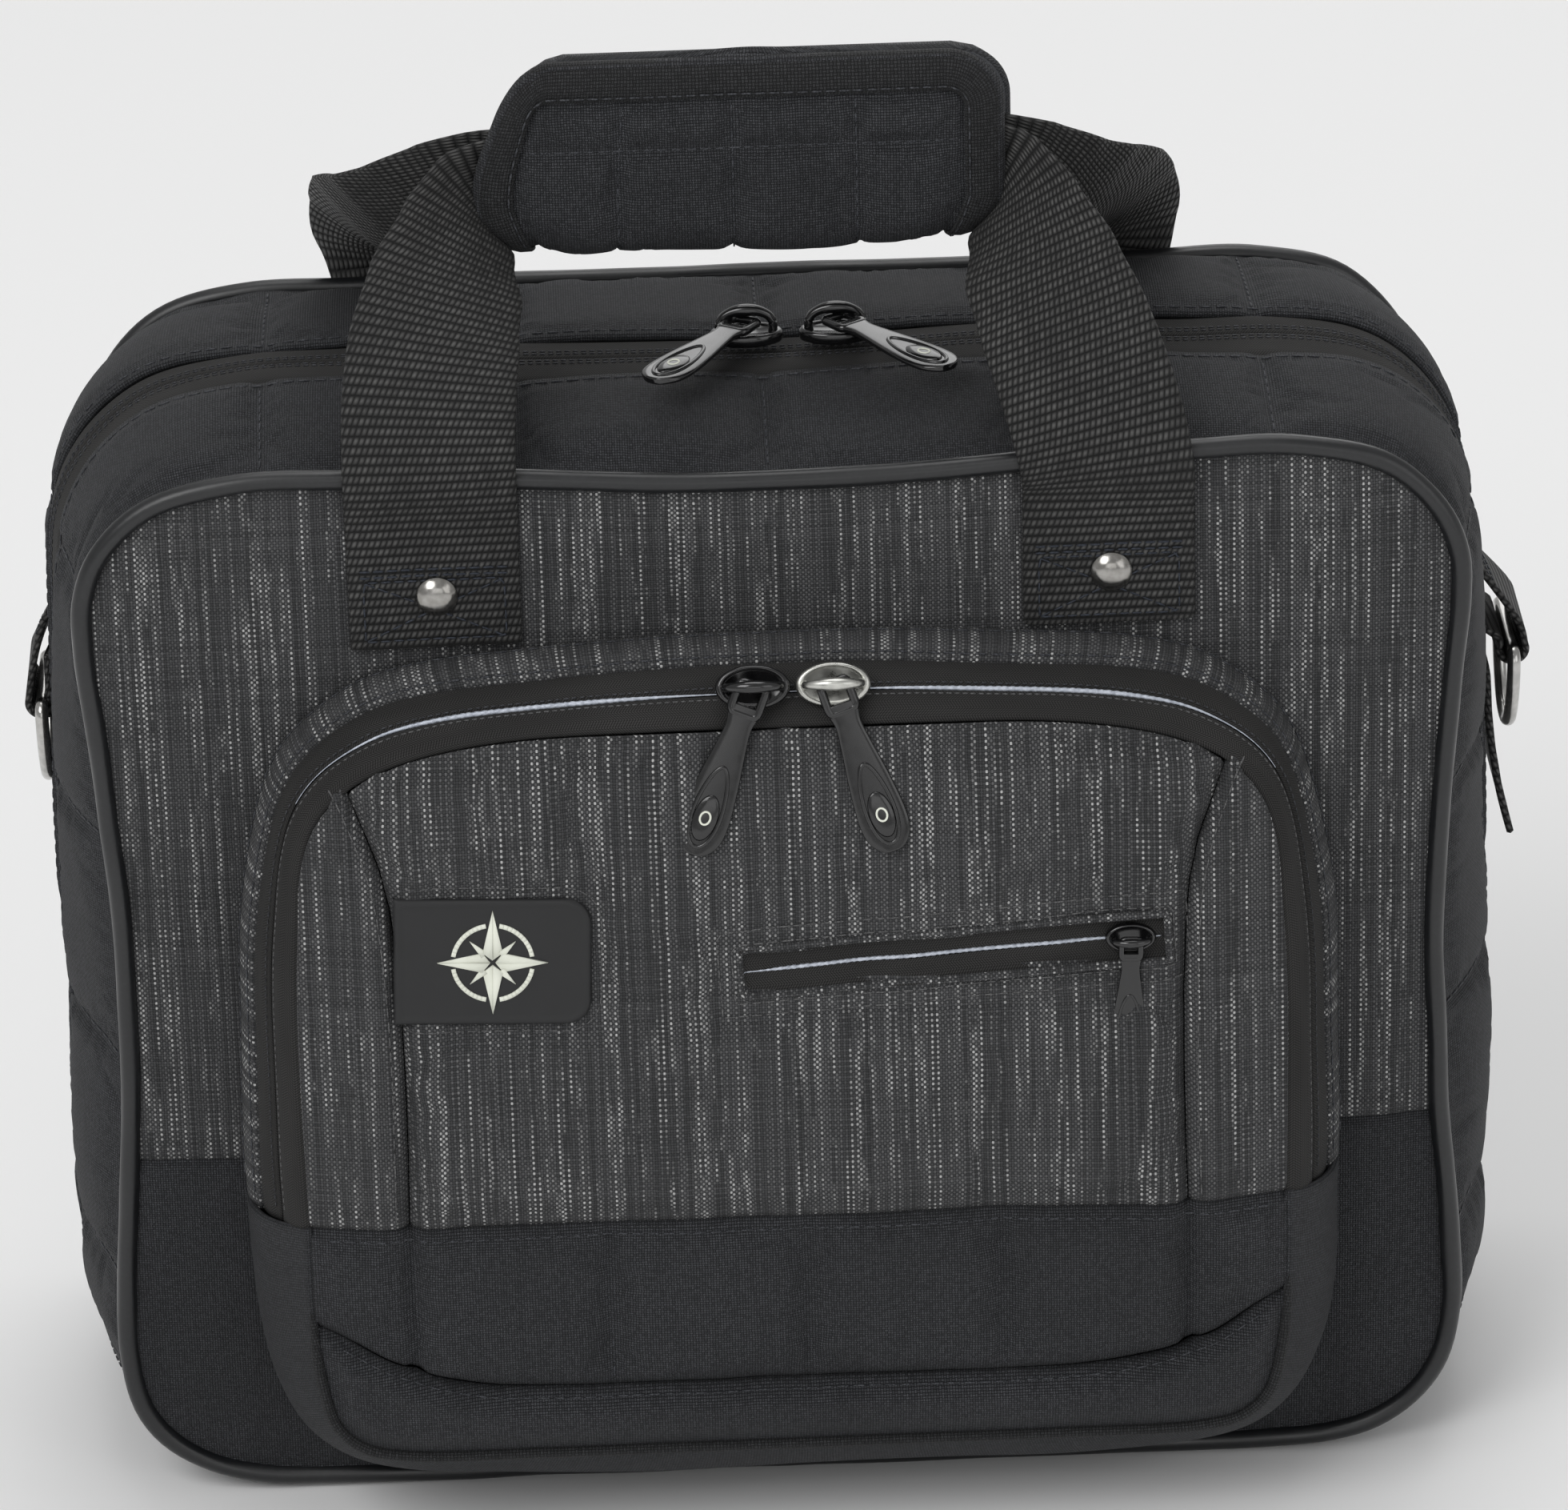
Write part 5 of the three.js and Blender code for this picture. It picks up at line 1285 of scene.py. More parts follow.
# ------------------------------------------------------------------ rubber patch with a plain compass rose
PC = (-66.0, 154.2, math.radians(-2.0))


def patch_xz(a, b):
    c, s = math.cos(PC[2]), math.sin(PC[2])
    return PC[0] + a * c - b * s, PC[1] + a * s + b * c


def patch_height(a, b):
    """Height over the cloth, with a raised rim; a, b from the patch's centre."""
    e = np.minimum(np.minimum(a + 22.3, 22.3 - a), np.minimum(b + 15.2, 15.2 - b))
    corner = (a > 16.3) & (np.abs(b) > 9.2)
    e = np.where(corner, 6 - np.hypot(a - 16.3, np.abs(b) - 9.2), e)
    return 1.25 + 0.35 * np.exp(-((e - 1.2) / 0.55) ** 2) - 0.5 * np.exp(-(e / 0.35) ** 2)


def flat_face(x, z, off):
    """The face without its small folds, for stiff pieces that lie on it."""
    gx = [x + dx for dx in (-8, 0, 8)]
    r = sum(face_relief(q, z + dz) for q in gx for dz in (-6, 0, 6)) / 9
    return np.stack([x, face_y(z) - r - off, z], -1)


b = np.linspace(-15.2, 15.2, 60)
right = np.where(np.abs(b) > 9.2, 16.3 + np.sqrt(np.maximum(36 - (np.abs(b) - 9.2) ** 2, 0)), 22.3)
cc = np.linspace(0, 1, 80)
aa = -22.3 + (right[:, None] + 22.3) * cc[None]
bb = np.repeat(b[:, None], 80, 1)
x, z = patch_xz(aa, bb)
_pr = lambda x, z: face_y(z) - 3.15 - 0.25
patch_top = lambda a, b, up=0.0: (lambda xx, zz: np.stack([xx, _pr(xx, zz) - patch_height(a, b) - up, zz], -1))(*patch_xz(a, b))
P = patch_top(aa, bb)
o = shell("rubber_patch_moulded", P, np.stack([x, z], -1), 1.5, [RUBBER], -1, rim=0.15)
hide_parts("rubber_patch"); place(o, "pocket_flap")
em = Bits()


def prism(bits, pts, h0, h1, taper=0.12):
    pts = np.array(pts, float)
    c = pts.mean(0)
    n = len(pts)
    lo_, up_ = patch_top(pts[:, 0], pts[:, 1], h0), None
    q = c + (pts - c) * (1 - taper * 0.25)
    hi_ = patch_top(q[:, 0], q[:, 1], h1)
    ce = patch_top(c[:1], c[1:], h1)
    ce0 = patch_top(c[:1], c[1:], h0)
    v = np.concatenate([lo_, hi_, ce, ce0])
    f = [[i, (i + 1) % n, n + (i + 1) % n, n + i] for i in range(n)] + [[n + i, n + (i + 1) % n, 2 * n] for i in range(n)] + [[(i + 1) % n, i, 2 * n + 1] for i in range(n)]
    bits.add(v, f)


for k in range(4):  # four long points
    t = k * math.pi / 2
    ux, uz = math.cos(t), math.sin(t)
    wx, wz = -uz, ux
    for sd in (-1, 1):
        tri = [(0.5 * ux, 0.5 * uz), (12.6 * ux, 12.6 * uz), (2.3 * (ux + sd * wx), 2.3 * (uz + sd * wz))]
        prism(em, tri if sd > 0 else tri[::-1], -0.1, 0.45 if sd > 0 else 0.25)
for k in range(4):  # four short points between them
    t = math.pi / 4 + k * math.pi / 2
    ux, uz = math.cos(t), math.sin(t)
    wx, wz = -uz, ux
    prism(em, [(2.6 * ux - 0.9 * wx, 2.6 * uz - 0.9 * wz), (7.4 * ux, 7.4 * uz), (2.6 * ux + 0.9 * wx, 2.6 * uz + 0.9 * wz)], -0.1, 0.35)
for r0, r1 in ((8.5, 9.5),):  # a ring broken where the long points cross it
    for k in range(4):
        t0, t1 = k * math.pi / 2 + 0.17, (k + 1) * math.pi / 2 - 0.17
        ts = np.linspace(t0, t1, 12)
        for a, b2 in zip(ts[:-1], ts[1:]):
            prism(em, [(r0 * math.cos(a), r0 * math.sin(a)), (r1 * math.cos(a), r1 * math.sin(a)), (r1 * math.cos(b2), r1 * math.sin(b2)), (r0 * math.cos(b2), r0 * math.sin(b2))], -0.1, 0.32, 0.0)
o = em.make("patch_compass_rose", EMBLEM)
place(o, "pocket_flap")
for dd in (2.2,):  # stitch row round the patch
    a = np.concatenate([np.linspace(-20, 17, 20), 16.3 + (6 + dd) * np.sin(np.linspace(0, np.pi / 2, 8)), np.full(6, 22.3 + dd), 16.3 + (6 + dd) * np.cos(np.linspace(0, np.pi / 2, 8)), np.linspace(16, -20, 20)])
    b = np.concatenate([np.full(20, 15.2 + dd), 9.2 + (6 + dd) * np.cos(np.linspace(0, np.pi / 2, 8)), np.linspace(9, -9, 6), -9.2 - (6 + dd) * np.sin(np.linspace(0, np.pi / 2, 8)), np.full(20, -15.2 - dd)])
    x, z = patch_xz(a, b)
    row_on_face("flap", x, z, length=2.2, gap=0.8, r=0.22)

# ------------------------------------------------------------------ small zip
a = np.linspace(SZ["x0"] - 0.4, SZ["x1"] + 0.4, 100)
for nm, b0, b1 in (("lower", SZ["z0"] - 0.5, 151.05), ("upper", 151.45, SZ["z1"] + 0.5)):
    A, B = np.meshgrid(a, np.linspace(b0, b1, 7), indexing="ij")
    x, z = slot_world(A, B)
    P = on_face(x, z, 0.25 + 0.25 * np.exp(-((B - 151.25) / 1.0) ** 2))
    o = shell("small_zip_tape_" + nm, P, np.stack([A, B - 151.25], -1), 0.6, [TAPE], 1, rim=0.1)
    if nm == "lower":
        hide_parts("small_zip_tape")
    place(o, "pocket_flap")
al = np.linspace(SZ["x0"] + 0.3, SZ["x1"] - 1.0, 220)
x, z = slot_world(al, np.full(220, 151.25) + 0.9 * np.sin((al - SZ["x0"]) / 96 * np.pi) * 0.6)
o = tube("small_zip_reflective_line", on_face(x, z, 0.35), (0.15 + 0.36 * smooth(al - SZ["x0"], 0, 12) * smooth(SZ["x1"] - al, 4, 22)) * (0.9 + 0.1 * np.sign(np.sin(al * 2 * np.pi / 1.5))), [SILVER], 8, ref=(0, 1, 0))
place(o, "pocket_flap")
# folded lips of the opening
r_ = 0.95
lp = resample(np.array([slot_world(*p) for p in [(SZ["x0"] + 0.5, SZ["z0"] - 0.5), (SZ["x1"] + 0.6, SZ["z0"] - 0.5), (SZ["x1"] + 0.6, SZ["z1"] + 0.5), (SZ["x0"] - 0.5, SZ["z1"] + 0.5), (SZ["x0"] - 0.5, SZ["z0"] - 0.5)]]), step=1.2)[:-1]
P = on_face(lp[:, 0], lp[:, 1], 0.0)
P[:, 1] = np.convolve(np.pad(face_y(lp[:, 1]) - 3.5 - 0.3 * soft(lp[:, 0] / 18, lp[:, 1] / 9, 3), 3, mode="wrap"), np.ones(7) / 7, "valid")
o = tube("small_zip_folded_edge", P, r_, [MELANGE], 10, closed=True, ref=(0, 1, 0))
place(o, "pocket_flap")
for dd in (2.0, 5.2):
    q = resample(np.array([slot_world(*p) for p in [(SZ["x0"] - dd, SZ["z0"] - dd), (SZ["x1"] + dd, SZ["z0"] - dd), (SZ["x1"] + dd, SZ["z1"] + dd), (SZ["x0"] - dd, SZ["z1"] + dd), (SZ["x0"] - dd, SZ["z0"] - dd)]]), step=2.0)
    row_on_face("flap", q[:, 0], q[:, 1], length=2.3, gap=0.8, r=0.22)


# ------------------------------------------------------------------ sliders and pulls
def oval_rings(L, W, prof, seg=40, cx=0.0):
    t = np.arange(seg) / seg * 2 * np.pi
    v = [[cx, prof[0][1], 0]]
    for k, y in prof[1:-1]:
        v += [[cx + k * L / 2 * math.cos(a), y, k * W / 2 * math.sin(a)] for a in t]
    v.append([cx, prof[-1][1], 0])
    f = []
    m = len(prof) - 2
    for j in range(seg):
        j2 = (j + 1) % seg
        f.append([0, 1 + j, 1 + j2])
        for i in range(m - 1):
            f.append([1 + i * seg + j, 1 + (i + 1) * seg + j, 1 + (i + 1) * seg + j2, 1 + i * seg + j2])
        f.append([1 + (m - 1) * seg + j, 1 + m * seg, 1 + (m - 1) * seg + j2])
    return np.array(v, float), f


def tube_verts(P, r, sides=10, closed=False, squash=1.0):
    P = np.asarray(P, float)
    k = len(P)
    T = unit(np.roll(P, -1, 0) - np.roll(P, 1, 0)) if closed else unit(np.gradient(P, axis=0))
    ref = np.array([0, 1.0, 0])
    A = np.cross(T, ref)
    bad = np.linalg.norm(A, axis=1) < 0.25
    A[bad] = np.cross(T[bad], [0, 0, 1.0])
    A = unit(A)
    for i in range(1, k):
        if A[i] @ A[i - 1] < 0:
            A[i] *= -1
    B = np.cross(A, T)
    R = np.broadcast_to(np.asarray(r, float), (k,))
    an = np.arange(sides) / sides * 2 * np.pi
    v = (P[:, None] + R[:, None, None] * (np.cos(an)[None, :, None] * A[:, None] + squash * np.sin(an)[None, :, None] * B[:, None])).reshape(-1, 3)
    f = [[i * sides + j, ((i + 1) % k) * sides + j, ((i + 1) % k) * sides + (j + 1) % sides, i * sides + (j + 1) % sides] for i in range(k if closed else k - 1) for j in range(sides)]
    if not closed:
        f += [list(range(sides)), [(k - 1) * sides + j for j in range(sides)][::-1]]
    f0 = np.array([q for q in f if len(q) == 4])
    if np.einsum("ij,ij->", v[f0[:, 0]] - P.mean(0), np.cross(v[f0[:, 1]] - P.mean(0), v[f0[:, 2]] - P.mean(0))) < 0:
        f = [q[::-1] for q in f]
    return v, f


def slider_bits(bail_deg):
    b = Bits()
    v, f = oval_rings(SLIDER_LEN * 1.13, SLIDER_WID * 1.06, [(0, 0), (0.86, 0.0), (0.97, 0.35), (1.0, 0.9), (1.0, 1.9), (0.975, 2.5), (0.91, 2.95), (0.83, 2.9), (0.78, 2.55), (0.74, 2.25), (0, 2.15)])
    b.add(v, f)
    a = math.radians(bail_deg)
    prof = catmull([[-6.0, 1.8], [-6.2, 3.9], [-5.4, 5.9], [-3.0, 7.3], [0, 7.6], [3.0, 7.3], [5.4, 5.9], [6.2, 3.9], [6.0, 1.8]], False, 5)
    P = np.stack([prof[:, 0] * math.cos(a), prof[:, 1], -prof[:, 0] * math.sin(a)], 1)
    v, f = tube_verts(P, 1.0 + 0.5 * np.exp(-(prof[:, 0] / 3.6) ** 2), 14)
    b.add(v, f)
    return b


PULL_H = np.array([[4.6, 3.2], [6.2, 3.55], [9.5, 3.0], [15, 3.6], [24, 4.9], [33, 5.6], [37.0, 5.0], [39.4, 3.4], [40.4, 1.9], [40.75, 0.5]])


def pull_bits(length):
    k = length / PULL_LEN
    b, mark = Bits(), Bits()
    h = catmull(PULL_H, False, 6)
    xs, hw = 4.6 + (h[:, 0] - 4.6) * k, h[:, 1]
    an = np.arange(24) / 24 * 2 * np.pi
    cz = np.sign(np.cos(an)) * np.abs(np.cos(an)) ** 0.45
    cy = np.sign(np.sin(an)) * np.abs(np.sin(an)) ** 0.45
    v = np.stack([np.repeat(xs[:, None], 24, 1), 0.82 * cy[None] * np.minimum(1, 0.35 + hw[:, None] / 3), hw[:, None] * cz[None]], -1).reshape(-1, 3)
    n = len(xs)
    f = [[i * 24 + j, i * 24 + (j + 1) % 24, (i + 1) * 24 + (j + 1) % 24, (i + 1) * 24 + j] for i in range(n - 1) for j in range(24)]
    f += [list(range(24))[::-1], [(n - 1) * 24 + j for j in range(24)]]
    b.add(v, [q[::-1] for q in f])
    # the eye
    eye = resample(np.array([[-0.45, -2.6], [-0.45, 2.6], [0.3, 3.15], [5.6, 3.15], [6.6, 2.7], [6.6, -2.7], [5.6, -3.15], [0.3, -3.15]]), step=0.8, closed=True)[:-1]
    v, f = tube_verts(np.stack([eye[:, 0], eye[:, 0] * 0, eye[:, 1]], 1), 1.05, 10, closed=True)
    b.add(v, f)
    # a raised drop-shaped rim and an oval boss, on both faces
    t = np.arange(44) / 44 * 2 * np.pi
    c0 = 4.6 + (29.0 - 4.6) * k
    for sd in (1, -1):
        rim = np.stack([c0 + 9.6 * k * np.cos(t), np.full(44, 0.78 * sd), (3.55 + 0.75 * np.cos(t)) * np.sin(t) * (0.9 if k < 1.02 else 1)], 1)
        v, f = tube_verts(rim, 0.5, 8, closed=True, squash=0.9)
        b.add(v, f)
        v, f = oval_rings(11.0 * k, 5.6, [(0, 0.6), (1.0, 0.6), (1.0, 0.95), (0.9, 1.18), (0.55, 1.32), (0, 1.36)], 32, cx=c0 + 2.6 * k)
        if sd < 0:
            v[:, 1] *= -1
            f = [q[::-1] for q in f]
        b.add(v, f)
    ring = np.stack([c0 + 2.6 * k + 1.5 * np.cos(t), np.full(44, 1.3), 1.15 * np.sin(t)], 1)
    v, f = tube_verts(ring, 0.26, 6, closed=True)
    mark.add(v, f)
    return b, mark


def basis(at, x, y):
    x, y = np.array(x, float), np.array(y, float)
    x /= np.linalg.norm(x)
    y = y - (y @ x) * x
    y /= np.linalg.norm(y)
    return np.array([x, y, np.cross(x, y)]), np.array(at, float)


def put_bits(bits, name, mat, at, x, y, scale=1.0):
    B, t = basis(at, x, y)
    for i in range(len(bits.v)):
        bits.v[i] = bits.v[i] * scale @ B + t
    o = bits.make(name, mat)
    return o


def zip_slider(nm, mat, bar, out_dir, in_plane, drop, length, scale=1.0):
    out_dir = np.array(out_dir, float)
    bar = np.array(bar, float)
    at = bar - out_dir * (SLIDER_T + BAR_H) * scale
    tr = np.array([1.0, 0, 0])
    cr = np.cross(tr, out_dir)
    a, d = math.radians(in_plane), math.radians(drop)
    dr = tr * math.cos(a) - cr * math.sin(a)
    lean = dr * math.cos(d) - out_dir * math.sin(d)
    up = out_dir * math.cos(d) + dr * math.sin(d)
    o = put_bits(slider_bits(0.0), "slider_%s_cast" % nm, mat, at, tr, out_dir, scale)
    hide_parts("slider_" + nm); place(o, "slider_" + nm)
    b, mark = pull_bits(length / scale)
    o = put_bits(b, "pull_%s_cast" % nm, BLACK_METAL, bar, lean, up, scale)
    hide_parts("pull_" + nm); place(o, "pull_" + nm)
    o = put_bits(mark, "pull_%s_ring_mark" % nm, EMBLEM, bar, lean, up, scale)
    place(o, "pull_" + nm)


def out_at(deg):
    return (0, -math.cos(math.radians(deg)), math.sin(math.radians(deg)))


zip_slider("main_left", BLACK_METAL, (-3, -1.5, 271.4279), (0, 0, 1), 180 + 57, 0, PULL_LEN)
zip_slider("main_right", BLACK_METAL, (17.5, -1.5, 271.4279), (0, 0, 1), -53, 0, PULL_LEN)
zip_slider("pocket_left", BLACK_METAL, (-5.5, -81.6907, 215.8483), out_at(25), -112, 12, PULL_LEN)
zip_slider("pocket_right", BARE_METAL, (12.5, -81.6898, 215.8389), out_at(25), -71.5, 12, PULL_LEN)
zip_slider("small", BLACK_METAL, (78, -91.1993, 153.8608), out_at(4.4), -92, 4, 28.5, 0.68)


# ------------------------------------------------------------------ handle webbing
def hermite(A, per):
    A = np.array(A, float)
    out = []
    for i in range(len(A) - 1):
        t = np.linspace(0, 1, per, endpoint=False)
        t = (t * t * (3 - 2 * t))
        t = t[:, None] if A.ndim > 1 else t
        out.append(A[i] * (1 - t) + A[i + 1] * t)
    return np.concatenate(out + [A[-1:]])


def web_rows(rows, per=10):
    C = catmull([r[0] for r in rows], False, per)
    W = hermite([r[1] for r in rows], per)
    width = hermite([r[2] for r in rows], per)
    L = np.concatenate([[0], np.cumsum(np.linalg.norm(np.diff(C, axis=0), axis=1))])
    s = np.linspace(0, L[-1], int(L[-1] / 2.0))
    f = lambda A: np.stack([np.interp(s, L, A[:, k]) for k in range(3)], 1)
    C, W, width = f(C), f(W), np.interp(s, L, width)
    T = unit(np.gradient(C, axis=0))
    W = unit(W - (W * T).sum(1, keepdims=True) * T)
    return C, T, W, width, s


def webbing(name, rows, outward, panel_y, way, cols=17, lo_z=243.0, hi_z=256.0):
    C, T, W, width, s = web_rows(rows)
    N = unit(np.cross(T, W))
    if (N[2] @ np.array(outward)) < 0:
        N = -N
    e = np.linspace(-1, 1, cols)
    width = width * (1 + 0.006 * soft(s / 15, s * 0, 2))
    curl = 0.35 * soft(s / 28, s * 0 + 2, 6)
    P = C[:, None] + W[:, None] * (e[None, :, None] * width[:, None, None] / 2)
    bow = curl[:, None] * (e[None] ** 2) + 0.18 * soft(s[:, None] / 9, e[None] * 1.5, 7)
    P = P + N[:, None] * bow[..., None]
    flat = panel_y(P[..., 0], P[..., 2]) + way * 1.15
    k = smooth(P[..., 2], lo_z, hi_z)
    near = np.abs(P[..., 0]) > 50
    P[..., 1] = np.where(near, flat * (1 - k) + P[..., 1] * k, P[..., 1])
    Nn = np.repeat(N[:, None], cols, 1)
    uv = np.stack([np.repeat((e[None] * WEB_W / 2), len(s), 0), np.repeat(s[:, None], cols, 1)], -1)
    thin = WEB_T * (1 - 0.25 * np.abs(e) ** 8)
    P = P + Nn * (thin[None, :, None] / 2)
    # orientation of the grid against the wanted outer side
    g = np.cross(P[1, 0] - P[0, 0], P[0, 1] - P[0, 0])
    sgn = 1 if g @ Nn[0, 0] > 0 else -1
    o = shell(name, P, uv, np.repeat(thin[None], len(s), 0), [WEBBING], sgn, rim=0.3, N=Nn)
    return o, P, Nn, s


def smooth_panel(f):
    return lambda x, z: (f(x, z) * 2 + f(x + 5, z) + f(x - 5, z) + f(x, z + 5) + f(x, z - 5)) / 6


yf = smooth_panel(front_y)
yb = smooth_panel(back_y)
frontLeft = [
    [[-76, -56.6, z], [1, 0, 0], WEB_W] for z in (217.6, 227, 237)] + [
    [[-76, -56.6, 246.4], [1, 0, 0], WEB_W], [[-76, -57.9, 253], [1, 0, 0], WEB_W], [[-76, -57.9, 262], [1, 0, 0], WEB_W],
    [[-75.5, -54, 274], [1, 0, -0.03], WEB_W], [[-74, -46.5, 285], [1, 0.03, -0.1], 37.5], [[-71, -36, 295], [0.97, 0.08, -0.24], 35],
    [[-67.5, -24, 303.5], [0.82, 0.12, -0.55], 29], [[-65, -15, 308.5], [0.5, 0.05, -0.86], 24], [[-60, -11.2, 310.6], [0.15, 0, -1], 21], [[-40, -10.9, 311], [0, 0, -1], 20]]
rearLeft = [
    [[-76, 60, z], [1, 0, 0], WEB_W] for z in (206, 217, 228, 238)] + [
    [[-76, 60, 246.4], [1, 0, 0], WEB_W], [[-77, 62, 253], [1, 0, 0], WEB_W], [[-80, 62.5, 260], [1, 0, -0.05], WEB_W],
    [[-85, 57, 268], [0.9, 0.05, -0.4], WEB_W], [[-88, 45, 276], [0.72, 0.15, -0.67], WEB_W], [[-88.5, 32, 282.5], [0.5, 0.3, -0.8], WEB_W],
    [[-85, 18, 289], [0.32, 0.38, -0.86], 36], [[-78, 5.5, 297.5], [0.22, 0.3, -0.92], 31], [[-70, -2.6, 306], [0.1, 0.1, -1], 25], [[-63.5, -5.2, 310.2], [0, 0, -1], 21],
    [[-40, -5.4, 311], [0, 0, -1], 20]]


def mirrored(rows, z0, span):
    out = []
    for c, w, k in rows[::-1]:
        q = float(clamp((c[2] - z0) / span))
        out.append([[-c[0] - 8 * q, c[1], c[2]], [-w[0], w[1], w[2]], k])
    return out


o, PF, NF, sf = webbing("handle_webbing_front_loop", frontLeft + mirrored(frontLeft, 256, 36), (0, -1, 0), yf, -1)
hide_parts("strap_front_left", "strap_front_right", "handle_webbing_front")
WEB_FRONT = sf[-1]
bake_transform(o)
o, PR, NR, sr = webbing("handle_webbing_rear_loop", rearLeft + mirrored(rearLeft, 262, 24), (0, 1, 0), yb, 1)
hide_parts("strap_rear_left", "strap_rear_right", "handle_webbing_rear")
WEB_REAR = sr[-1]
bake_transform(o)


def strap_y(f, way):
    return lambda x, z: f(x, z) + way * (1.15 + WEB_T / 2)


def row_strap(key, pts, f, way, **kw):
    P = resample(np.array(pts, float), step=1.5)
    y = strap_y(f, way)(P[:, 0], P[:, 1])
    stitches(ST[key], np.stack([P[:, 0], y, P[:, 1]], 1), np.array([0.0, way, 0.0]), **kw)


ST["strap_f"], ST["strap_r"] = Bits(), Bits()
for key, f, way, zb in (("strap_f", yf, -1, 219.5), ("strap_r", yb, 1, 209.0)):
    for sd in (-1, 1):
        cx = sd * STRAP_X
        for zq in (235.2, 236.7):
            row_strap(key, [[cx - 17, zq], [cx + 17, zq]], f, way, length=2.2, gap=0.7, r=0.3)
        row_strap(key, [[cx - 15.8, zb], [cx - 15.8, 234], [cx + 15.8, 234], [cx + 15.8, zb], [cx - 15.8, zb]], f, way, length=2.2, gap=0.7, r=0.26)
        row_strap(key, [[cx - 15.8, zb], [cx + 15.8, 234]], f, way, length=2.2, gap=0.7, r=0.26)
        row_strap(key, [[cx - 15.8, 234], [cx + 15.8, zb]], f, way, length=2.2, gap=0.7, r=0.26)
        # rivet: a low dome with a rolled edge
        prof = catmull([[0.02, 2.65], [1.4, 2.5], [2.9, 2.05], [4.0, 1.25], [4.5, 0.75], [4.75, 0.35], [4.6, -0.1], [4.3, -0.5]], False, 4)
        seg = 40
        t = np.arange(seg) / seg * 2 * np.pi
        x0 = cx + (0.5 if way < 0 else 0)
        y0 = strap_y(f, way)(x0, RIVET_Z)
        v = np.stack([x0 + prof[:, 0][:, None] * np.cos(t)[None], np.full((len(prof), seg), y0) + way * prof[:, 1][:, None], RIVET_Z + prof[:, 0][:, None] * np.sin(t)[None]], -1).reshape(-1, 3)
        n = len(prof)
        fc = [[i * seg + j, i * seg + (j + 1) % seg, (i + 1) * seg + (j + 1) % seg, (i + 1) * seg + j] for i in range(n - 1) for j in range(seg)]
        fc += [list(range(seg))[::-1], [(n - 1) * seg + j for j in range(seg)]]
        if way > 0:
            fc = [q[::-1] for q in fc]
        nm = "rivet_%s_%s" % ("front" if way < 0 else "rear", "left" if sd < 0 else "right")
        o = to_object(nm + "_dome", v, fc, None, [GUN_NICKEL])
        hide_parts(nm); place(o, "front_shell" if way < 0 else "root")

# ------------------------------------------------------------------ padded wrap grip
G_Y, G_Z = -8.0, 304.5


def grip_slant(P):
    """The left end of the grip leans in towards its top."""
    P[..., 0] = P[..., 0] + 8.5 * smooth(P[..., 2], 309, 340) * clamp((GRIP_X - P[..., 0]) / 59.0) ** 2
    return P


def grip_half(z, top=GRIP_TOP_Z):
    low = clamp((z - GRIP_LOW_Z) / 14)
    full = lerp(51.0, 59.0, np.sqrt(low))
    over = clamp(z - (top - 12), 0, 12)
    return full - (12 - np.sqrt(np.maximum(144 - over * over, 0)))


ARC = math.pi * 10.0
G_V = ARC + (GRIP_TOP_Z - G_Z)
QX = (-31.4, -5.4, 22.5)
QV = ARC + 320.3 - G_Z


def grip_point(e, v, lift=0.0, raw=False):
    """e -1..1 across, v mm along the outer face from the rear end of the fold."""
    e, v = np.broadcast_arrays(np.asarray(e, float), np.asarray(v, float))
    a = -np.clip(v / ARC, 0, 1) * math.pi
    r = 10.0 + lift
    y = G_Y + r * np.cos(a)
    z = G_Z + r * np.sin(a) + np.maximum(v - ARC, 0)
    zo = G_Z + 10 * np.sin(a) + np.maximum(v - ARC, 0)
    x = GRIP_X + e * grip_half(zo)
    return np.stack([x, y, z], -1) if raw else grip_slant(np.stack([x, y, z], -1))


def grip_edge(e, v):
    """Distance from the sewn edge, mm."""
    P = grip_point(e, v, raw=True)
    side = grip_half(P[..., 2]) - np.abs(P[..., 0] - GRIP_X)
    side = np.where(v > ARC, side, (1 - np.abs(e)) * 51)
    return np.minimum(np.minimum(side, G_V - v), v)


def grip_lift(e, v):
    P = grip_point(e, v, raw=True)
    d = grip_edge(e, v)
    x = P[..., 0]
    q = np.zeros_like(x)
    on = smooth(v, ARC * 0.4, ARC * 0.7) * lerp(0.3, 1.0, smooth(v, ARC * 0.72, ARC + 5))
    for k in QX:
        q = np.maximum(q, np.exp(-((x - k) / 2.3) ** 2) * on)
    q = np.maximum(q, np.exp(-((v - QV) / 2.0) ** 2) * smooth(d, 6, 9))
    r = lerp(1.2, 2.2, smooth(v, ARC + 4, ARC + 14)) * smooth(d, 6.2, 20) * (1 - 0.85 * q) + 0.6 * (1 - q) * soft(x / 14, v / 14, 4) * smooth(d, 7, 14)
    r = r - 1.0 * np.exp(-((d - 8.4) / 1.1) ** 2)
    return r - 1.2 * smooth(6.0 - d, 0, 6)


def grip_pt(e, v, extra=0.0):
    return grip_point(e, v, grip_lift(e, v) + extra)


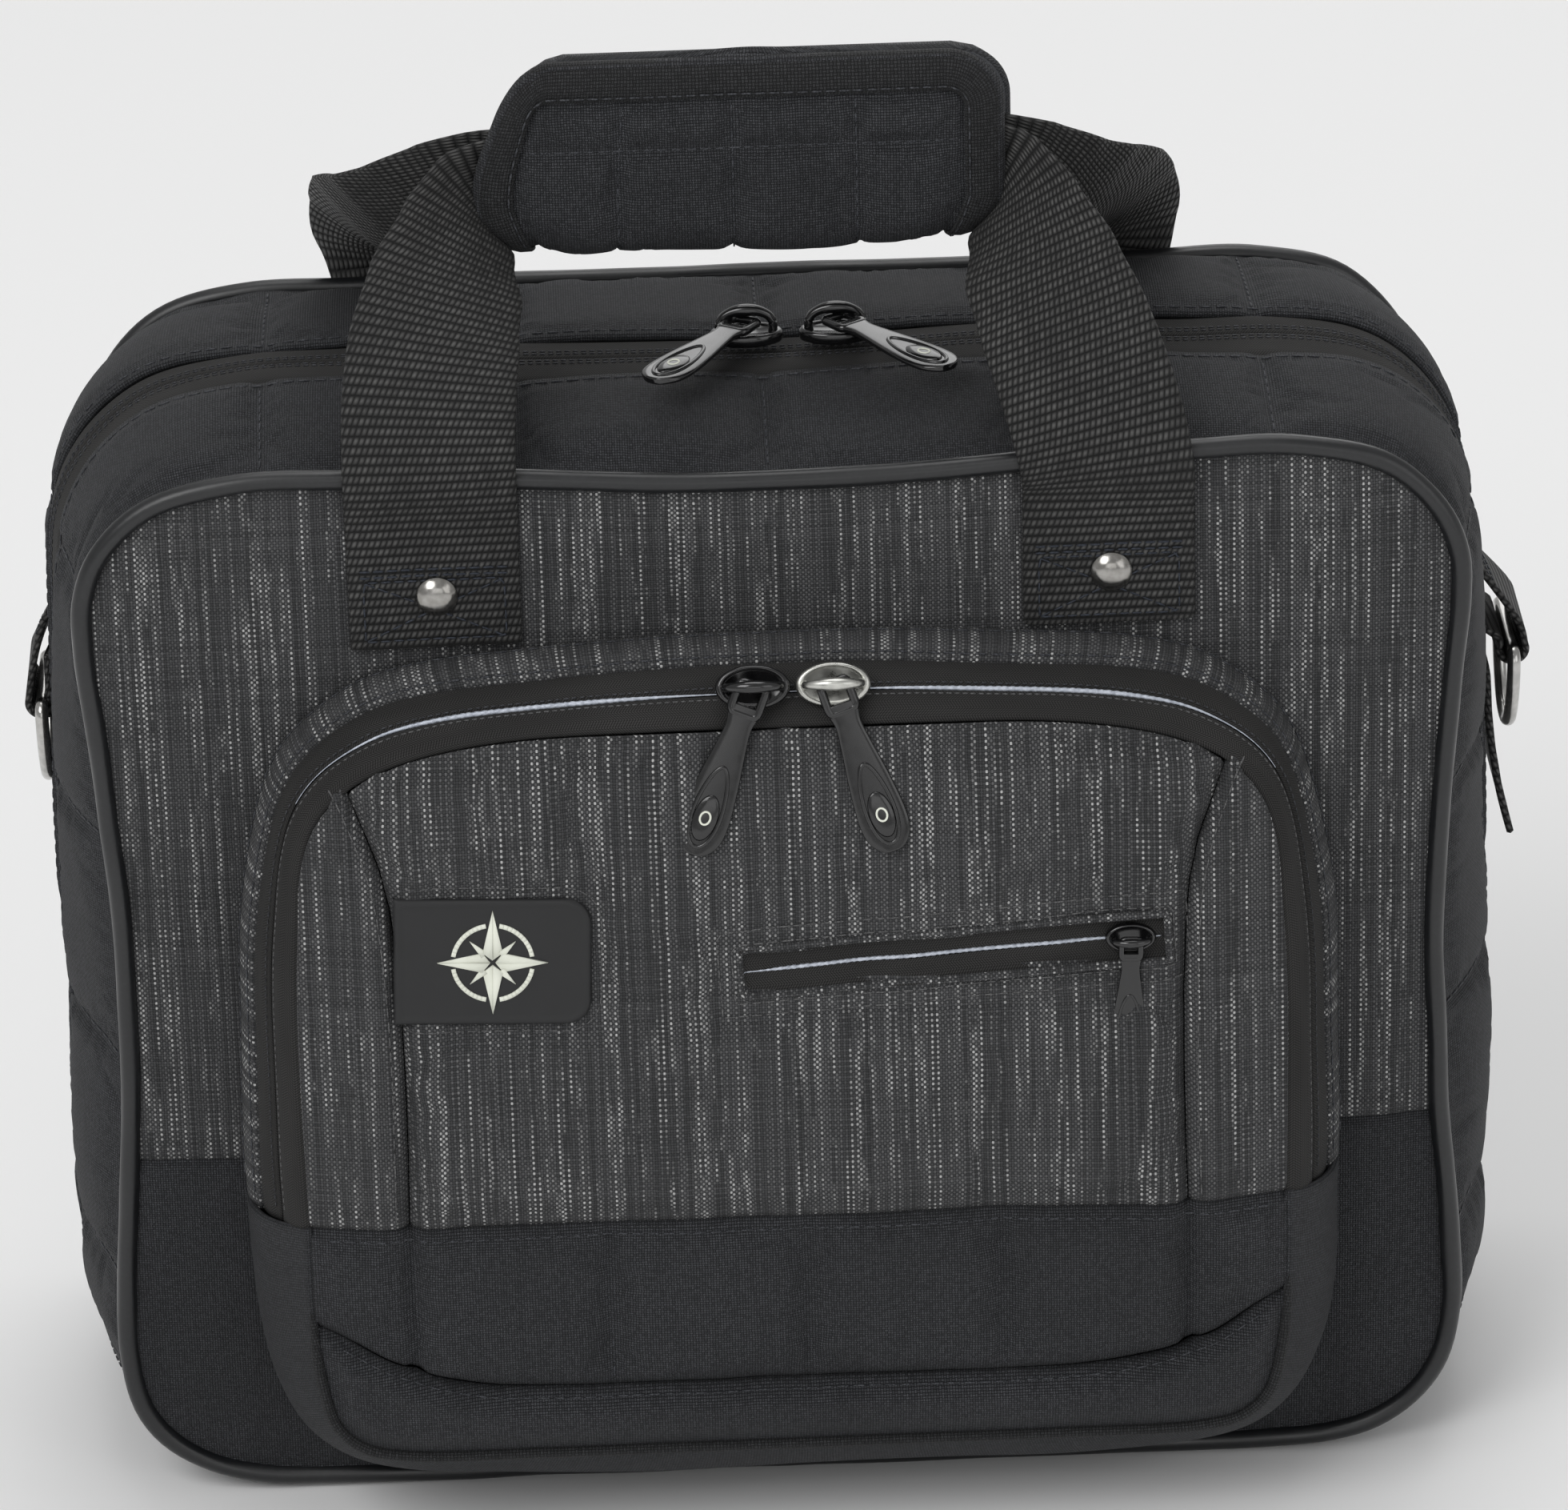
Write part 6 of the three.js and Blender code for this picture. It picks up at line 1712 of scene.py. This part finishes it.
ev = np.linspace(-1, 1, 96)
vv = np.linspace(0.0, G_V, 58)
E, V = np.meshgrid(ev, vv, indexing="ij")
GP = grip_pt(E, V)
dd = grip_edge(E, V)
pin = np.maximum.reduce([np.clip(1.5 - dd / 8.5, 0, 1)] + [ridge(GP[..., 0] - k, 1.6) * smooth(V, ARC * 0.7, ARC) for k in QX] + [ridge(V - QV, 1.5)])
GB = billow(GP, pin, -1, 4.0, 18, 1.0, 0.05)
gn = unit(GP - (grip_pt(E, V, -1.0)))
sgn = 1 if (grid_normals(GP)[48, 40] @ gn[48, 40]) > 0 else -1
if sgn > 0:
    GB = billow(GP, pin, 1, 4.0, 18, 1.0, 0.05)
tg = 5.4 + (GB - GP)[..., 0] * 0 + (grip_lift(E, V))
uvg = np.stack([GP[..., 0], V], -1)
o = shell("grip_padded_cloth", GB, uvg, np.maximum(tg, 4.0), [BLACK_SOFT, LINING], sgn, rim=0.5, N=gn)
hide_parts("grip_front"); place(o, "handle")

# binding round the sides and top of the grip
side_l = [[-1, v] for v in np.linspace(0.5, G_V - 12, 34)]
corner = []


def edge_line():
    """The grip's edge from the lower left, over the top, to the lower right, as (x, v)."""
    pts = []
    for v in np.linspace(0.5, G_V - 12.5, 36):
        z = G_Z + 10 * math.sin(-min(v / ARC, 1) * math.pi) + max(v - ARC, 0)
        pts.append([GRIP_X - float(grip_half(np.array(z))), v])
    r = 12.0
    for a in np.linspace(0, math.pi / 2, 12)[1:]:
        pts.append([GRIP_X - 59 + r - r * math.cos(a), G_V - r + r * math.sin(a)])
    half = pts
    out = half + [[x, G_V] for x in np.linspace(half[-1][0], 2 * GRIP_X - half[-1][0], 60)[1:-1]] + [[2 * GRIP_X - x, v] for x, v in half[::-1]]
    return np.array(out)


EL = resample(edge_line(), step=1.5)
TE = unit(np.gradient(EL, axis=0))
IN = np.stack([TE[:, 1], -TE[:, 0]], 1)  # into the grip


def grip_xv(x, v, lift):
    a = -np.clip(v / ARC, 0, 1) * math.pi
    r = 10.0 + lift
    return grip_slant(np.stack([x, G_Y + r * np.cos(a), G_Z + r * np.sin(a) + np.maximum(v - ARC, 0)], -1))


prof_b = [(8.0, 0.15), (7.4, 0.55), (5.0, 0.75), (2.5, 0.75), (0.6, 0.35), (-0.35, -0.9), (-0.6, -2.3), (-0.35, -3.6), (0.6, -4.9), (2.5, -5.3), (6.0, -5.3)]
rows_b = []
wav = 0.25 * soft(np.arange(len(EL)) / 9.0, np.arange(len(EL)) * 0, 9)
for dd_, lf in prof_b:
    Q = EL + IN * dd_
    base = -1.2 * smooth(np.full(len(EL), 6.0 - max(dd_, 0)), 0, 6) if lf > -1 else np.full(len(EL), -1.0)
    rows_b.append(grip_xv(Q[:, 0] + 0, Q[:, 1], base + lf + wav * (lf > 0)))
PB = np.stack(rows_b, 1)
sb = np.concatenate([[0], np.cumsum(np.linalg.norm(np.diff(EL, axis=0), axis=1))])
ub_ = np.array([8, 7.4, 5, 2.5, .6, -.8, -2.2, -3.6, -5, -7, -10.5])
uvb = np.stack([np.repeat(sb[:, None], len(prof_b), 1), np.repeat(ub_[None], len(sb), 0)], -1)
g = grid_normals(PB)
kk = len(EL) // 2
sgn_b = 1 if g[kk, 2] @ np.array([0, -1, 0]) > 0 else -1
o = shell("grip_edge_binding", PB, uvb, 0.7, [BINDING], sgn_b, rim=0.1)
place(o, "handle")
Q = EL + IN * 6.9
nr = unit(grip_xv(Q[:, 0], Q[:, 1], 1.0) - grip_xv(Q[:, 0], Q[:, 1], 0.0))
stitches(ST["grip"], grip_xv(Q[:, 0], Q[:, 1], -1.2 * smooth(np.full(len(EL), -0.9), 0, 6) + 0.62), nr, length=2.3, gap=0.8, r=0.26)
for k in QX:  # quilting rows
    v_ = np.linspace(ARC * 0.45, G_V - 9, 40)
    P = grip_xv(np.full(40, k), v_, 0)
    e_ = (k - GRIP_X) / grip_half(np.where(v_ > ARC, G_Z + v_ - ARC, G_Z + 10 * np.sin(-np.clip(v_ / ARC, 0, 1) * np.pi)))
    P = grip_pt(e_, v_)
    stitches(ST["grip"], P, unit(grip_pt(e_, v_, 1) - P), length=2.4, gap=0.8, r=0.24)
xq = np.linspace(GRIP_X - 50, GRIP_X + 50, 80)
e_ = (xq - GRIP_X) / 59.0
P = grip_pt(e_, np.full(80, QV))
stitches(ST["grip"], P, np.array([0.0, -1.0, 0.0]), length=2.4, gap=0.8, r=0.24)

# the inner half of the wrap
fz = np.linspace(304.8, 337.0, 30)
cx_ = np.linspace(-1, 1, 80)
hw = grip_half(fz, 337.0) - 1.0
X = GRIP_X + 3 + cx_[:, None] * hw[None]
Zf = np.repeat(fz[None], 80, 0)
de = np.minimum(np.minimum(hw[None] - np.abs(X - GRIP_X - 3), 337.0 - Zf), Zf - 304.8 + 4)
lift = 1.0 * smooth(de, 2, 14) + 0.3 * soft(X / 12, Zf / 12, 8) * smooth(de, 3, 9) - 0.7 * smooth(4 - de, 0, 4)
FPo = grip_slant(np.stack([X, G_Y + 4 + 6 + lift - 0.8, Zf], -1))
pinf = np.maximum(np.clip(1.4 - de / 4, 0, 1), ridge(de - 7.5, 1.2))
FB = billow(FPo, pinf, 1 if grid_normals(FPo)[40, 15][1] > 0 else -1, 3.5, 16, 1.1, 0.04)
o = shell("grip_flap_padded_cloth", FB, np.stack([X, Zf], -1), 5.3, [BLACK_SOFT, LINING], 1 if grid_normals(FPo)[40, 15][1] > 0 else -1, rim=0.5, N=np.broadcast_to(np.array([0, 1.0, 0]), FPo.shape).copy())
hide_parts("grip_flap"); place(o, "grip_flap")
eo_ = []
for z in np.linspace(305.5, 325, 12):
    eo_.append([GRIP_X + 3 - 58.0 + 7.0, z])
for a in np.linspace(0, math.pi / 2, 8):
    eo_.append([GRIP_X + 3 - 58 + 12 - 5 * math.cos(a), 325 + 5 * math.sin(a)])
eo_ = np.array(eo_ + [[2 * (GRIP_X + 3) - x, z] for x, z in eo_[::-1]])
eo_ = resample(eo_, step=1.5)
dE = np.minimum(58.0 - np.abs(eo_[:, 0] - GRIP_X - 3), 337 - eo_[:, 1])
stitches(ST["gripflap"], grip_slant(np.stack([eo_[:, 0], G_Y + 10 + 1.0 * smooth(dE, 2, 14) - 0.75 + 0.25, eo_[:, 1]], 1)), np.array([0.0, 1.0, 0.0]), length=2.3, gap=0.8, r=0.26)

# ------------------------------------------------------------------ D-rings and their webbing
BAR_Z, WIRE = 175.5, 1.6
for sd, side, outer in ((-1, "left", 174.5), (1, "right", 180.0)):
    xb = outer - 4
    ys = np.linspace(12.5, 37.5, 13)

    def sx(z, y):
        u = body.u_at_z(z)
        return abs(float(cloth_skin(u if sd > 0 else 1 - u, np.array(y))[0]))

    path = [[None, 199.0], [None, 196.6], [outer - 1.4 if outer > 176 else outer - 1.0, 181.5]]
    for k in range(12):
        t = math.radians(24 - k * 21)
        path.append([xb + 4 * math.cos(t), BAR_Z + 4 * math.sin(t)])
    path += [[None, BAR_Z + 6.0], [None, BAR_Z + 12.0]]
    cols = []
    for y in ys:
        q = []
        for i, (x, z) in enumerate(path):
            base = sx(min(z, 205.0), y)
            low = base + (1.0 if i in (0,) else 2.4 if i == 1 else 0.4)
            q.append([max(x, base + 0.4) if x is not None else low, z])
        q = catmull(q, False, 6)
        cols.append(resample(q, n=90))
    Cc = np.array(cols)  # (13, 90, 2)
    P = np.stack([sd * Cc[..., 0], np.repeat(ys[:, None], 90, 1), Cc[..., 1]], -1)
    sl = np.concatenate([[0], np.cumsum(np.linalg.norm(np.diff(Cc[6], axis=0), axis=1))])
    uv = np.stack([np.repeat(ys[:, None] - 25, 90, 1), np.repeat(sl[None], 13, 0)], -1)
    g = grid_normals(P)
    o = shell("dring_tab_%s_webbing" % side, P, uv, 1.5, [WEBBING], 1 if g[6, 20][0] * sd > 0 else -1, rim=0.3)
    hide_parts("dring_tab_" + side)
    place(o, "root")
    Dp = [[-14.2, 0], [-9, 0], [0, 0], [9, 0], [14.2, 0], [15.6, -1.6], [15.4, -6], [13, -13], [8.4, -19.5], [3, -22.4], [-3, -22.4], [-8.4, -19.5], [-13, -13], [-15.4, -6], [-15.6, -1.6]]
    c = catmull([[sd * xb, 25 + y, BAR_Z + z] for y, z in Dp], True, 8)
    o = tube("dring_%s_wire" % side, c, WIRE, [NICKEL], 16, closed=True, ref=(1, 0, 0))
    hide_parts("dring_" + side); place(o, "dring_" + side)
    key = "dring" + side
    ST["root_s" + side] = Bits()
    for zq in (193.2, 194.8):
        xs_ = [np.interp(-zq, -Cc[i, :30, 1], Cc[i, :30, 0]) for i in range(13)]
        stitches(ST["root_s" + side], np.stack([sd * np.array(xs_), ys, np.full(13, zq)], 1), np.array([sd * 1.0, 0, 0.12]), length=2.1, gap=0.7, r=0.26)

x0 = float(abs(cloth_skin(body.u_at_z(168), 12.5)[0])) + 0.4
tz = np.linspace(171.5, 128, 30)
tx = x0 + np.interp(tz, [128, 139, 150, 160, 169, 172], [8.2, 5.6, 3.7, 2.6, 2.1, 1.6])
ys = np.linspace(12.5, 37.5, 13)
P = np.stack([np.repeat(tx[None], 13, 0) + 0.25 * soft(ys[:, None] / 9, tz[None] / 12, 3), np.repeat(ys[:, None], 30, 1), np.repeat(tz[None], 13, 0)], -1)
g = grid_normals(P)
o = shell("webbing_tail_right_loose", P, np.stack([np.repeat(ys[:, None] - 25, 30, 1), np.repeat((171.5 - tz)[None], 13, 0)], -1), 1.7, [WEBBING], 1 if g[6, 10][0] > 0 else -1, rim=0.3)
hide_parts("webbing_tail_right"); place(o, "root")

# ------------------------------------------------------------------ stiffener and the stitch meshes
bb = bpy.data.objects["base_board"]
for s_ in bb.material_slots:
    s_.material = BOARD
if not bb.material_slots:
    bb.data.materials.append(BOARD)
for key, mat, how in (("open", THREAD, open_blend), ("root", THREAD, "root"), ("front", THREAD, "front_shell"), ("flap", THREAD_GREY, fold_blend), ("grip", THREAD, "handle"),
                      ("gripflap", THREAD, "grip_flap"), ("band", THREAD, open_blend), ("hinge", THREAD, fold_blend), ("strap_f", THREAD_BLUE, "front_shell"), ("strap_r", THREAD_BLUE, "root"), ("root_sleft", THREAD_BLUE, "root"), ("root_sright", THREAD_BLUE, "root")):
    o = ST[key].make("stitches_" + key, mat)
    if o is None:
        continue
    how(o) if callable(how) else place(o, how)
print("SIM", [round(v, 2) for v in SIM_LOG], "WEB", round(WEB_FRONT, 1), round(WEB_REAR, 1))
